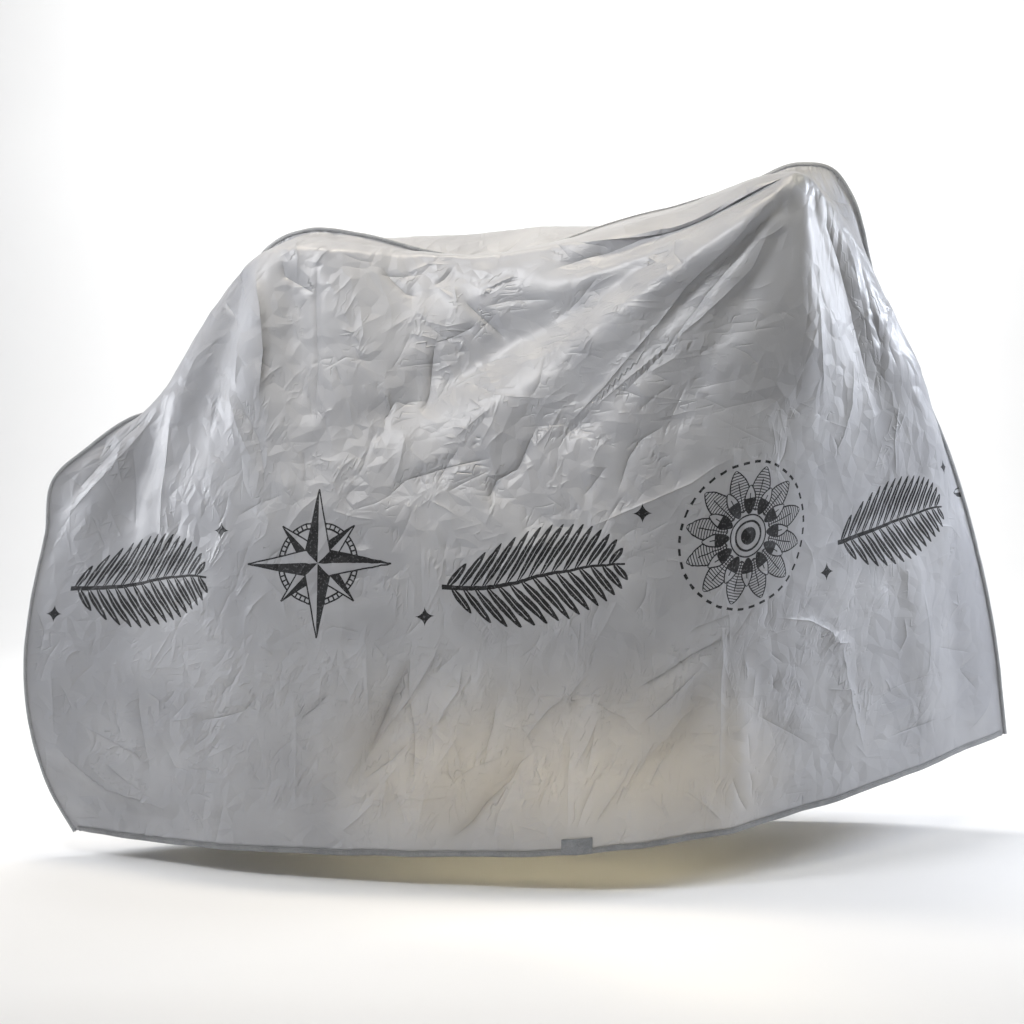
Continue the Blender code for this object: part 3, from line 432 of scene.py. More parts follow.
def seamPath():
    # up the rear, over the top and down the front
    rows, shares = rowShares(), columnShares()[1]
    stretches = (
        seamStretch("rear hem", "peak corner", 1 - rows[::-1]),
        seamStretch("peak corner", "nose front", shares[1:-1]),
        seamStretch("nose front", "front hem", rows),
    )
    return np.concatenate([s[0] for s in stretches]), np.concatenate([s[1] for s in stretches])


def seamFrames(points, leans):
    # directions out of the cover, and sideways to the near side
    along = unit(np.gradient(points, axis=0))
    out = unit(np.stack([-along[:, 2], np.zeros(len(along)), along[:, 0]], axis=1))
    near = unit(np.cross(along, out))
    near = np.where(near[:, 1:2] > 0, -near, near)
    turn = np.radians(leans)[:, None]
    return out * np.cos(turn) + near * np.sin(turn), near * np.cos(turn) - out * np.sin(turn)


def sectionCurve(points, shares):
    # one section read at the row heights, with its ridge rounded off
    knots, turn = hang["levelShares"], hang["ridgeTurn"]
    values = [np.array(point) for point in points]
    before = knots[1] - (knots[1] - knots[0]) * turn
    after = knots[1] + (knots[2] - knots[1]) * turn
    start = values[1] + (values[0] - values[1]) * turn
    end = values[1] + (values[2] - values[1]) * turn
    middle = (start + end) / 4 + values[1] / 2
    return easedCurve(
        [knots[0], before, knots[1], after, *knots[2:]],
        [values[0], start, middle, end, *values[2:]],
        shares,
    )


def loftedGrid(levels):
    # the panel before its folds, columns by rows
    rows = rowShares()
    columns, shares = columnShares()
    rear = seamStretch("rear hem", "peak corner", 1 - rows)[0]
    front = seamStretch("nose front", "front hem", rows)[0]
    top = seamStretch("peak corner", "nose front", shares)[0]
    starts = seamStretch("peak corner", "nose front", [row[2] for row in sectionRows])[0]
    curves = [sectionCurve([start, *points], rows) for start, points in zip(starts, levels)]
    places = [0.0, *(row[1] for row in sectionRows), 1.0]
    grid = easedCurve(places, np.array([rear, *curves, front]), columns)
    return grid + (top - grid[:, 0])[:, None, :] * ((1 - rows) ** net["edgePower"])[None, :, None]


def gridNormals(grid, side):
    normals = unit(np.cross(np.gradient(grid, axis=0), np.gradient(grid, axis=1)))
    middle = normals[grid.shape[0] // 2, grid.shape[1] // 2]
    return normals if middle[1] * side > 0 else -normals


def foldHeights(flat, folds):
    # broad ridges and troughs, added up
    heights = np.zeros(flat.shape[:2])
    for _, start, end, startWidth, endWidth, height in folds:
        run = np.subtract(end, start)
        share = np.clip(((flat - start) @ run) / (run @ run), 0, 1)
        away = np.linalg.norm(flat - start - share[..., None] * run, axis=-1)
        width = startWidth + (endWidth - startWidth) * share
        swell = np.sin(math.pi * (hang["foldStart"] + (hang["foldEnd"] - hang["foldStart"]) * share))
        heights += height * swell * np.exp(-((away / width) ** 2))
    return heights


def besideLine(flat, path, reach):
    # points near a line: how far off it they are, how far along, and on which side
    path = np.array(path)
    low, high = path.min(axis=0) - reach, path.max(axis=0) + reach
    near = np.all((flat > low) & (flat < high), axis=-1)
    points = flat[near]
    lengths = lengthsAlong(path)
    best = np.full(len(points), 1e9)
    place = np.zeros(len(points))
    flank = np.zeros(len(points))
    for k in range(len(path) - 1):
        run = path[k + 1] - path[k]
        size = np.linalg.norm(run)
        offset = points - path[k]
        share = np.clip((offset @ run) / size**2, 0, 1)
        rest = offset - share[:, None] * run
        away = np.linalg.norm(rest, axis=1)
        closer = away < best
        best = np.where(closer, away, best)
        place = np.where(closer, (lengths[k] + share * size) / lengths[-1], place)
        flank = np.where(closer, (run[0] * rest[:, 1] - run[1] * rest[:, 0]) / (size * (away + 1e-9)), flank)
    return near, best, place, flank


def endFade(place, share):
    return np.clip(place / share, 0, 1) * np.clip((1 - place) / share, 0, 1)


def creaseHeights(flat, creases):
    # sharp creases: the slope changes at the line and dies out within a few widths
    heights = np.zeros(flat.shape[:2])
    for _, path, width, height, skew in creases:
        near, away, place, flank = besideLine(flat, path, width * 5)
        ends = endFade(place, crumple["endShare"])
        ends = crumple["leastEnd"] + (1 - crumple["leastEnd"]) * ends * (2 - ends)
        soft = np.sqrt(away**2 + crumple["tip"] ** 2) - crumple["tip"]
        raised = height * (crumple["sharper"] if width < crumple["narrow"] else 1.0)
        heights[near] += raised * ends * np.exp(-soft / (width * (1 + skew * flank)))
    return heights


def creaseLines(flat, creases):
    # what the film's bump needs for a crisp line: the way to the nearest crease, and its depth
    away = np.full(flat.shape[:2], 0.1)
    depth = np.zeros(flat.shape[:2])
    for _, path, width, height, skew in creases:
        near, off, place, flank = besideLine(flat, path, crumple["lineSearch"])
        ends = endFade(place, crumple["lineEndShare"])
        ends *= np.clip((crumple["lineReach"] - off) / crumple["lineFade"], 0, 1)
        closer = off < np.abs(away[near])
        away[near] = np.where(closer, off * np.sign(flank), away[near])
        deepest = crumple["lineDepth"]
        depth[near] = np.where(closer, np.clip(height, -deepest, deepest) * ends, depth[near])
    return away, depth


# small creases that the film keeps from its packing and handling
crumple = {
    "length": (0.022, 0.120),
    "width": (0.005, 0.012),
    "height": (0.0003, 0.0013),
    "tip": 0.0016,  # how soft a crease's line is
    "endShare": 0.3,  # share of its length over which it grows from either end
    "leastEnd": 0.25,  # share of its height that it has at its ends
    "lineReach": 0.0145,  # how far from a crease its crisp line is kept, over one cell of the net
    "lineFade": 0.003,
    "lineSearch": 0.03,
    "lineEndShare": 0.15,
    "lineDepth": 0.0035,
    "sharper": 1.5,  # how much deeper the narrow creases are than their tables say
    "narrow": 0.013,
    "waveHeight": 0.0022,  # slow unevenness of the film
    "waveLength": 0.11,
}

# where they lie: name, middle (x, z), spread (x, z), how many, their angle and how far it strays
creaseZones = (
    ("fan wrinkles", (0.25, 0.90), (0.11, 0.12), 130, 0.15, 0.35),
    ("upper middle", (-0.08, 0.90), (0.15, 0.12), 90, 0.55, 0.60),
    ("peak side", (-0.46, 0.82), (0.12, 0.16), 90, 1.50, 0.45),
    ("left of the band", (-0.55, 0.50), (0.16, 0.12), 90, 1.30, 0.70),
    ("band middle", (0.00, 0.58), (0.22, 0.10), 130, 0.90, 0.60),
    ("lower left", (-0.52, 0.24), (0.17, 0.12), 130, 0.90, 0.80),
    ("lower middle", (-0.08, 0.26), (0.19, 0.12), 200, 1.05, 0.60),
    ("lower right", (0.36, 0.30), (0.17, 0.14), 120, 1.35, 0.60),
    ("right flank", (0.62, 0.60), (0.12, 0.26), 70, 1.55, 0.50),
    ("all over", (0.03, 0.58), (0.48, 0.30), 260, 0.80, 1.20),
)


def scatteredCreases(seed):
    random = np.random.default_rng(seed)
    rows = []
    for name, middle, spread, count, angle, stray in creaseZones:
        for number in range(count):
            start = np.array((random.normal(middle[0], spread[0]), random.normal(middle[1], spread[1])))
            length = random.uniform(*crumple["length"]) * random.uniform(0.5, 1.0)
            turn = random.normal(angle, stray)
            bend = random.normal(0, 0.35)
            step = length / 2 * np.array((math.cos(turn), math.sin(turn)))
            turned = length / 2 * np.array((math.cos(turn + bend), math.sin(turn + bend)))
            height = random.uniform(*crumple["height"]) * random.choice((-1, 1)) * random.uniform(0.4, 1.0)
            width = random.uniform(*crumple["width"])
            path = (start - step, start, start + turned)
            rows.append((f"{name} {number}", path, width, height, random.uniform(-0.7, 0.7)))
    return rows


def filmWaves(grid, seed):
    # slow unevenness, from noise that is the same on every run
    size, height = crumple["waveLength"], crumple["waveHeight"]
    flat = grid.reshape(-1, 3)
    values = [noise.fractal(Vector(p / size) + Vector((seed, 0, 0)), 0.8, 2.1, 4) for p in flat]
    return height * np.array(values).reshape(grid.shape[:2])


def seamDistance(grid):
    edges = (grid[:1], grid[-1:], grid[:, :1])
    return np.minimum.reduce([np.linalg.norm(grid - edge, axis=-1) for edge in edges])


# short gathers beside the seam, from the pull of its stitches
pucker = {
    "height": 0.0022,
    "perMetre": 34.0,
    "reach": 0.030,
    "start": 0.004,
}


def seamPucker(grid, beside, seed):
    shift = Vector((0, seed, 0))
    values = [noise.noise(Vector(p * pucker["perMetre"]) + shift) for p in grid.reshape(-1, 3)]
    heights = pucker["height"] * np.array(values).reshape(beside.shape)
    return heights * np.exp(-((beside / pucker["reach"]) ** 2)) * np.clip(beside / pucker["start"], 0, 1)


def panelGrid(levels, folds, creases, side, seed):
    grid = loftedGrid(levels)
    beside = seamDistance(grid)
    fade = np.clip(beside / hang["seamFade"], 0, 1)
    fade = fade * fade * (3 - 2 * fade)
    flat = grid[:, :, (0, 2)]
    heights = foldHeights(flat, folds) * fade
    normals = gridNormals(grid, side)
    moved = grid + normals * heights[..., None]
    scattered = scatteredCreases(seed)
    small = creaseHeights(flat, (*creases, *scattered))
    small += filmWaves(grid, seed)
    small = small * np.clip(beside / hang["creaseFade"], 0, 1) + seamPucker(grid, beside, seed)
    moves = moved + gridNormals(moved, side) * small[..., None] - grid
    moves[:, -1] = moves[:, -2]
    # the hem's line wanders up and down
    places = grid[:, -1, 0] / hang["hemWanderLength"]
    wander = np.array([noise.noise(Vector((place, seed, 0.0))) for place in places])
    column = np.arange(len(grid))
    wander *= np.clip(np.minimum(column, column[::-1]) / hang["cornerColumns"], 0, 1)
    moves[..., 2] += hang["hemWander"] * wander[:, None] * (rowShares() ** net["edgePower"])[None, :]
    lines = {}
    for label, rows in (("marked", creases), ("small", scattered)):
        lines[f"{label}Away"], lines[f"{label}Depth"] = creaseLines(flat, rows)
    return grid + moves, lines


def clothMap(grid):
    # flat lengths of the film: along the band, and up from the hem
    columns, rows = grid.shape[:2]
    heights = np.array([lengthsAlong(line[::-1])[::-1] for line in grid])
    bandRow = int(np.argmin(np.abs(heights[columns // 2] - 0.50)))
    along = lengthsAlong(grid[:, bandRow])
    u = np.repeat(along[:, None], rows, axis=1)
    return np.stack([u, heights], axis=-1)


def addMesh(name, points, faces, maps):
    # points come in the standing frame and are moved to the model's own
    mesh = bpy.data.meshes.new(name)
    mesh.from_pydata((np.asarray(points) - hangPoint).tolist(), [], [tuple(map(int, face)) for face in faces])
    corners = np.empty(len(mesh.loops), int)
    mesh.loops.foreach_get("vertex_index", corners)
    layer = mesh.uv_layers.new(name="clothMap")
    layer.data.foreach_set("uv", np.asarray(maps)[corners].astype(np.float32).ravel())
    mesh.shade_smooth()
    piece = bpy.data.objects.new(name, mesh)
    bpy.context.scene.collection.objects.link(piece)
    return piece


def outwards(piece):
    # faces of a closed piece point out of it
    shape = bmesh.new()
    shape.from_mesh(piece.data)
    bmesh.ops.recalc_face_normals(shape, faces=shape.faces)
    shape.to_mesh(piece.data)
    shape.free()


# thin silver film
filmPanel = {
    "thickness": 0.0008,
    "allowance": 0.0050,  # seam allowance that stands up inside the tape
    "offCentre": 0.00075,  # the two panels lie this far each side of the seam's middle
    "flat": (2.0, 1.15),
    "area": {"near": 2.0, "far": 1.9},
    "foldAngle": 48,  # edges sharper than this many degrees are shaded as folds
}


def netFaces(columns, rows):
    # the points' numbers, and the four-cornered faces between them
    index = np.arange(columns * rows).reshape(columns, rows)
    corners = (index[:-1, :-1], index[1:, :-1], index[1:, 1:], index[:-1, 1:])
    return index, [tuple(face) for face in np.stack(corners, axis=-1).reshape(-1, 4)]


def addPanel(name, grid, lines, path, out, near, side, looks):
    index, faces = netFaces(*grid.shape[:2])
    edge = np.concatenate([index[0, ::-1], index[1:-1, 0], index[-1]])
    maps = clothMap(grid).reshape(-1, 2)
    points = grid.reshape(-1, 3).copy()
    points[edge] = path - near * (side * filmPanel["offCentre"])
    tips = points[edge] + out * filmPanel["allowance"]
    tipIndex = np.arange(len(edge)) + len(points)
    faces += [(edge[k], tipIndex[k], tipIndex[k + 1], edge[k + 1]) for k in range(len(edge) - 1)]
    if side < 0:
        faces = [face[::-1] for face in faces]
    tipMaps = maps[edge] + np.array((0.0, filmPanel["allowance"]))
    piece = addMesh(name, np.concatenate([points, tips]), faces, np.concatenate([maps, tipMaps]))
    for label, values in lines.items():
        values = values.ravel()
        layer = piece.data.attributes.new(label, "FLOAT", "POINT")
        layer.data.foreach_set("value", np.concatenate([values, values[edge]]).astype(np.float32))
    piece.data.set_sharp_from_angle(angle=math.radians(filmPanel["foldAngle"]))
    # faces away from the printed band have the same film without the print, which renders quicker
    for look in looks:
        piece.data.materials.append(look)
    levels = np.concatenate([maps, tipMaps])[:, 1][np.array(faces)].mean(axis=1)
    offBand = np.abs(levels - printBand["height"]) > printBand["reach"]
    piece.data.polygons.foreach_set("material_index", offBand.astype(np.int32))
    wall = piece.modifiers.new("film thickness", "SOLIDIFY")
    wall.thickness = filmPanel["thickness"]
    wall.offset = 0.0
    return piece, points.reshape(grid.shape)


# grey binding tape, folded over an edge
bindingTape = {
    "thickness": 0.0009,
    "filmRoom": 0.0006,  # clear space over the film inside the fold
    "seamInside": 0.00155,  # half width inside the fold at the seam, over two films
    "seamLow": 0.0012,
    "seamCrown": 0.0062,
    "hemWidth": 0.0076,
    "hemInset": 0.0050,
    "waver": 0.0004,  # how unevenly its edges were folded
    "riseWaver": 0.06,  # and by what shares its height and its width vary
    "widthWaver": 0.10,
    "leastWidth": 0.97,
    "hemWidthWaver": 0.12,
    "foldAngle": 55,
    "steps": 5,  # points round half of its fold
}


def foldedProfile(inside, low, crown):
    # (across, up) round a tape folded over an edge that points up; the crown is round
    outside = inside + bindingTape["thickness"]
    steps = bindingTape["steps"]
    turn = np.linspace(0, math.pi, 2 * steps + 1)
    outer = [(outside, low + 0.0003), (outside * 1.04, (low + crown) / 2)]
    outer += [(outside * math.cos(a), crown - inside * 0.6 + (outside * 0.95) * math.sin(a)) for a in turn]
    outer += [(-outside * 1.04, (low + crown) / 2), (-outside, low + 0.0003)]
    inner = [(-inside - 0.0002, low), (-inside, (low + crown) / 2)]
    inner += [(-inside * math.cos(a), crown - inside * 0.6 + inside * 0.75 * math.sin(a)) for a in turn]
    inner += [(inside, (low + crown) / 2), (inside + 0.0002, low)]
    return outer, inner


def tubeFaces(rings, corners):
    faces = []
    for ring in range(rings - 1):
        for corner in range(corners):
            a, b = ring * corners + corner, ring * corners + (corner + 1) % corners
            faces.append((a, b, b + corners, a + corners))
    half = corners // 2
    for end in (0, rings - 1):
        for k in range(half - 1):
            faces.append(tuple(end * corners + c for c in (k, k + 1, corners - 2 - k, corners - 1 - k)))
    return faces


def addTape(name, rings, material):
    # rings is places along the tape by corners round it
    count, corners = rings.shape[:2]
    along = lengthsAlong(rings[:, 0])
    around = np.concatenate([[0.0], np.cumsum(np.linalg.norm(np.diff(rings[count // 2], axis=0), axis=1))])
    maps = np.stack(np.broadcast_arrays(along[:, None], around[None, :]), axis=-1)
    piece = addMesh(name, rings.reshape(-1, 3), tubeFaces(count, corners), maps.reshape(-1, 2))
    outwards(piece)
    piece.data.set_sharp_from_angle(angle=math.radians(bindingTape["foldAngle"]))
    piece.data.materials.append(material)
    return piece


def unevenness(along, seed, pitch):
    return np.array([noise.noise(Vector((seed, s / pitch, 0.0))) for s in along])


def seamTapeRings(path, out, near):
    outer, inner = foldedProfile(bindingTape["seamInside"], bindingTape["seamLow"], bindingTape["seamCrown"])
    along = lengthsAlong(path)
    rise = 1 + bindingTape["riseWaver"] * unevenness(along, 3.1, 0.030)
    swell = 1 + bindingTape["widthWaver"] * unevenness(along, 8.4, 0.022)
    rings = []
    for across, up in outer:
        low = bindingTape["waver"] * unevenness(along, 5.0 + np.sign(across), 0.018) * (up < 0.003)
        aside = across * np.maximum(swell, bindingTape["leastWidth"])
        rings.append(path + near * aside[:, None] + out * (up * rise + low)[:, None])
    for across, up in inner:
        rings.append(path + near * across + out * (up * rise)[:, None])
    return np.stack(rings, axis=1)


def hemTapeRings(surface, side):
    # the hem's cut edge points down, so the fold's crown lies below it
    hem = surface[:, -1]
    down = -unit(surface[:, -2] - hem)
    facing = gridNormals(surface, side)[:, -2]
    facing = unit(facing - down * np.sum(facing * down, axis=1, keepdims=True))
    inside = filmPanel["thickness"] / 2 + bindingTape["filmRoom"]
    outer, inner = foldedProfile(inside, -bindingTape["hemWidth"], 0.0010)
    along = lengthsAlong(hem)
    rise = surface[:, -2] - hem
    share = bindingTape["hemWidth"] / np.linalg.norm(rise, axis=1)
    upFacing = gridNormals(surface, side)[:, -3]
    uneven = 1 + bindingTape["hemWidthWaver"] * np.abs(unevenness(along, 2.2, 0.024))
    rings = []
    for corners, swell in ((outer, uneven), (inner, np.ones(len(along)))):
        for across, up in corners:
            step = np.clip(-up / bindingTape["hemWidth"], 0, 1)
            turned = unit(facing + (upFacing - facing) * (share * step)[:, None])
            edge = bindingTape["waver"] * unevenness(along, 6.0, 0.020) * (step > 0.9)
            rings.append(hem + down * (up + edge)[:, None] + turned * (across * swell)[:, None])
    rings = np.stack(rings, axis=1)
    for end, beside in ((0, 1), (-1, -2)):
        step = np.linalg.norm(hem[beside] - hem[end])
        rings[end] += (rings[beside] - rings[end]) * bindingTape["hemInset"] / step
    return rings


# small patch sewn over the near hem
hemPatch = {
    "size": (0.050, 0.026),
    "place": 0.105,  # its middle, along X
    "thickness": 0.0010,
    "columns": 31,
    "rows": 15,
    "overTape": 0.0030,  # from the film's middle to the patch's back, where it lies on the tape
    "overFilm": 0.0013,
    "tapeTop": 0.0078,  # it leaves the tape this far above the hem
    "stepHeight": 0.0122,  # and reaches the film here
    "creaseRise": 0.0016,  # the film is creased under its middle
    "creaseShare": 0.10,  # how wide that crease is, as a share of the patch
    "lean": 0.0016,  # its left edge hangs lower
    "edgeRound": 0.0003,
}


def patchSurface(surface, side):
    normals = gridNormals(surface, side)
    across = np.linspace(-0.5, 0.5, hemPatch["columns"])
    edges = hemPatch["place"] + hemPatch["size"][0] * across
    heights = np.linspace(-0.0012, hemPatch["size"][1], hemPatch["rows"])
    lines = []
    for place, share in zip(np.interp(edges, surface[:, -1, 0], np.arange(len(surface))), across):
        column, part = int(place), place % 1
        line = (surface[column] * (1 - part) + surface[column + 1] * part)[::-1][:12]
        turn = (normals[column] * (1 - part) + normals[column + 1] * part)[::-1][:12]
        along = lengthsAlong(line)
        at = heights + hemPatch["lean"] * (share - 0.5) * (heights / hemPatch["size"][1])
        base = np.stack([np.interp(at, along, line[:, axis]) for axis in range(3)], axis=1)
        base += np.minimum(at, 0)[:, None] * unit(line[1] - line[0])
        face = unit(np.stack([np.interp(at, along, turn[:, axis]) for axis in range(3)], axis=1))
        t = np.clip((at - hemPatch["tapeTop"]) / (hemPatch["stepHeight"] - hemPatch["tapeTop"]), 0, 1)
        lift = hemPatch["overTape"] + (hemPatch["overFilm"] - hemPatch["overTape"]) * t * t * (3 - 2 * t)
        lift = lift + hemPatch["creaseRise"] * np.exp(-np.abs(share) / hemPatch["creaseShare"])
        lines.append(base + face * lift[:, None])
    return np.array(lines)


def addPatch(name, surface, side, material):
    lines = patchSurface(surface, side)
    faces = netFaces(*lines.shape[:2])[1]
    spans = [np.linspace(0, size, count) for size, count in zip(hemPatch["size"], lines.shape)]
    maps = np.stack(np.meshgrid(*spans, indexing="ij"), axis=-1)
    piece = addMesh(name, lines.reshape(-1, 3), faces, maps.reshape(-1, 2))
    if piece.data.polygons[len(faces) // 2].normal.y * side < 0:
        piece.data.flip_normals()
    piece.data.materials.append(material)
    wall = piece.modifiers.new("patch thickness", "SOLIDIFY")
    wall.thickness = hemPatch["thickness"]
    wall.offset = 1.0
    rounded = piece.modifiers.new("soft edges", "BEVEL")
    rounded.width = hemPatch["edgeRound"]
    rounded.segments = 2
    rounded.limit_method = "ANGLE"
    return piece


# machine stitches
stitch = {"spacing": 0.0042, "length": 0.0029, "thread": 0.00062}


def stitchTree():
    tree = bpy.data.node_groups.new("stitch row", "GeometryNodeTree")
    shape = "NodeSocketGeometry"
    sockets = {"Geometry": tree.interface.new_socket("Geometry", in_out="INPUT", socket_type=shape)}
    sizes = {"Spacing": stitch["spacing"], "Length": stitch["length"], "Thread Width": stitch["thread"]}
    for name, value in sizes.items():
        sockets[name] = tree.interface.new_socket(name, in_out="INPUT", socket_type="NodeSocketFloat")
        sockets[name].default_value = value
    sockets["Thread"] = tree.interface.new_socket("Thread", in_out="INPUT", socket_type="NodeSocketMaterial")
    tree.interface.new_socket("Geometry", in_out="OUTPUT", socket_type=shape)

    def add(kind, settings=(), **links):
        node = tree.nodes.new(kind)
        for key, value in dict(settings).items():
            setattr(node, key, value)
        for key, value in links.items():
            socket = node.inputs[key.replace("_", " ")]
            if isinstance(value, bpy.types.NodeSocket):
                tree.links.new(value, socket)
            else:
                socket.default_value = value
        return node

    given = tree.nodes.new("NodeGroupInput").outputs
    curve = add("GeometryNodeMeshToCurve", Mesh=given["Geometry"]).outputs["Curve"]
    even = add("GeometryNodeResampleCurve", {"mode": "LENGTH"}, Curve=curve, Length=given["Spacing"])
    along = add("GeometryNodeInputTangent").outputs["Tangent"]
    turned = add("FunctionNodeAlignRotationToVector", {"axis": "X"}, Vector=along)
    halves = []
    for measure in ("Length", "Thread Width"):
        half = add("ShaderNodeMath", {"operation": "MULTIPLY"})
        tree.links.new(given[measure], half.inputs[0])
        half.inputs[1].default_value = 0.5
        halves.append(half.outputs[0])
    size = add("ShaderNodeCombineXYZ", X=halves[0], Y=halves[1], Z=halves[1])
    bead = add("GeometryNodeMeshIcoSphere", Radius=1.0, Subdivisions=2)
    laid = add("GeometryNodeInstanceOnPoints", Points=even.outputs["Curve"], Instance=bead.outputs["Mesh"],
               Rotation=turned.outputs["Rotation"], Scale=size.outputs["Vector"])
    real = add("GeometryNodeRealizeInstances", Geometry=laid.outputs["Instances"])
    painted = add("GeometryNodeSetMaterial", Geometry=real.outputs["Geometry"], Material=given["Thread"])
    result = tree.nodes.new("NodeGroupOutput")
    tree.links.new(painted.outputs["Geometry"], result.inputs["Geometry"])
    return tree, sockets


def addStitches(name, lines, tree, sockets, material):
    # lines are the paths of the rows of stitches
    points = np.concatenate(lines)
    edges, start = [], 0
    for line in lines:
        edges += [(start + k, start + k + 1) for k in range(len(line) - 1)]
        start += len(line)
    mesh = bpy.data.meshes.new(name)
    mesh.from_pydata((points - hangPoint).tolist(), edges, [])
    guide = bpy.data.objects.new(name + "Guide", mesh)
    bpy.context.scene.collection.objects.link(guide)
    rows = guide.modifiers.new("stitch row", "NODES")
    rows.node_group = tree
    rows[sockets["Thread"].identifier] = material
    plain = bpy.data.meshes.new_from_object(guide.evaluated_get(bpy.context.evaluated_depsgraph_get()))
    bpy.data.objects.remove(guide, do_unlink=True)
    plain.name = name
    plain.shade_smooth()
    piece = bpy.data.objects.new(name, plain)
    bpy.context.scene.collection.objects.link(piece)
    return piece


class Signal:
    # a shader socket that takes part in Python sums
    def __init__(self, paint, socket):
        self.paint, self.socket = paint, socket

    def maths(self, operation, *others):
        return self.paint.add("ShaderNodeMath", {"operation": operation}, self, *others)

    def __add__(self, other):
        return self.maths("ADD", other)

    def __mul__(self, other):
        return self.maths("MULTIPLY", other)

    __radd__, __rmul__ = __add__, __mul__

    def __sub__(self, other):
        return self.maths("SUBTRACT", other)

    def __rsub__(self, other):
        return self.paint.add("ShaderNodeMath", {"operation": "SUBTRACT"}, other, self)

    def __truediv__(self, other):
        return self.maths("DIVIDE", other)

    def __abs__(self):
        return self.maths("ABSOLUTE")

    def __lt__(self, other):
        return self.maths("LESS_THAN", other)

    def __gt__(self, other):
        return self.maths("GREATER_THAN", other)

    def __and__(self, other):
        return self.maths("MINIMUM", other)

    def __or__(self, other):
        return self.maths("MAXIMUM", other)


class Paint:
    # one procedural material
    def __init__(self, name):
        self.material = bpy.data.materials.new(name)
        self.material.use_nodes = True
        self.tree = self.material.node_tree
        self.tree.nodes.clear()

    def add(self, kind, settings=None, *values, out=0, **named):
        node = self.tree.nodes.new(kind)
        for key, value in (settings or {}).items():
            setattr(node, key, value)
        for key, value in (*enumerate(values), *((k.replace("_", " "), v) for k, v in named.items())):
            if isinstance(value, Signal):
                self.tree.links.new(value.socket, node.inputs[key])
            elif value is not None:
                node.inputs[key].default_value = value
        return Signal(self, node.outputs[out])

    def blend(self, factor, first, second):
        # colours mixed by a factor
        node = self.tree.nodes.new("ShaderNodeMix")
        node.data_type = "RGBA"
        for key, value in ((0, factor), (6, first), (7, second)):
            if isinstance(value, Signal):
                self.tree.links.new(value.socket, node.inputs[key])
            else:
                node.inputs[key].default_value = value if key == 0 else (*value, 1.0)
        return Signal(self, node.outputs[2])

    def range(self, value, low, high, toLow=0.0, toHigh=1.0):
        smooth = {"interpolation_type": "SMOOTHSTEP"}
        return self.add("ShaderNodeMapRange", smooth, value, low, high, toLow, toHigh)

    def clothPlace(self):
        # the piece's flat map, and its two lengths
        uv = self.add("ShaderNodeUVMap", {"uv_map": "clothMap"})
        lengths = self.add("ShaderNodeSeparateXYZ", None, uv).socket.node.outputs
        return uv, Signal(self, lengths[0]), Signal(self, lengths[1])

    def finish(self, shader):
        output = self.tree.nodes.new("ShaderNodeOutputMaterial")
        self.tree.links.new(shader.socket, output.inputs["Surface"])
        return self.material


filmLook = {
    "silver": (0.465, 0.472, 0.500),
    "paleSilver": (0.535, 0.542, 0.568),
    "roughness": (0.34, 0.48),
    "lightThrough": 0.22,  # share of the light that passes the bare film
    "throughColour": (0.62, 0.60, 0.56),
    "crinkles": ((11.0, 0.15), (29.0, 0.25)),  # cells a metre, lean
    "lines": (("marked", 0.60), ("small", 1.50)),
    "lineWidth": 0.0024,
}

# painted shade: a darker disc on the film where something firm presses from inside and holds back the light
# through it
pressShadeDisc = {"centre": (0.262, -0.372, 0.024), "radius": 0.0165, "shade": (0.40, 0.40, 0.385)}

# the printed band: fern sprays, rosettes and stars, staggered
printBand = {
    "ink": (0.012, 0.012, 0.0135),
    "height": 0.475,  # middle of the band above the hem
    "reach": 0.150,  # nothing is printed further from its middle
    "scale": 1.18,
    "pitch": 0.300,  # from one motif to the next, before it is scaled
    "start": 0.035,
    "stagger": 0.014,
    "line": 0.0011,  # half width of a drawn line
}


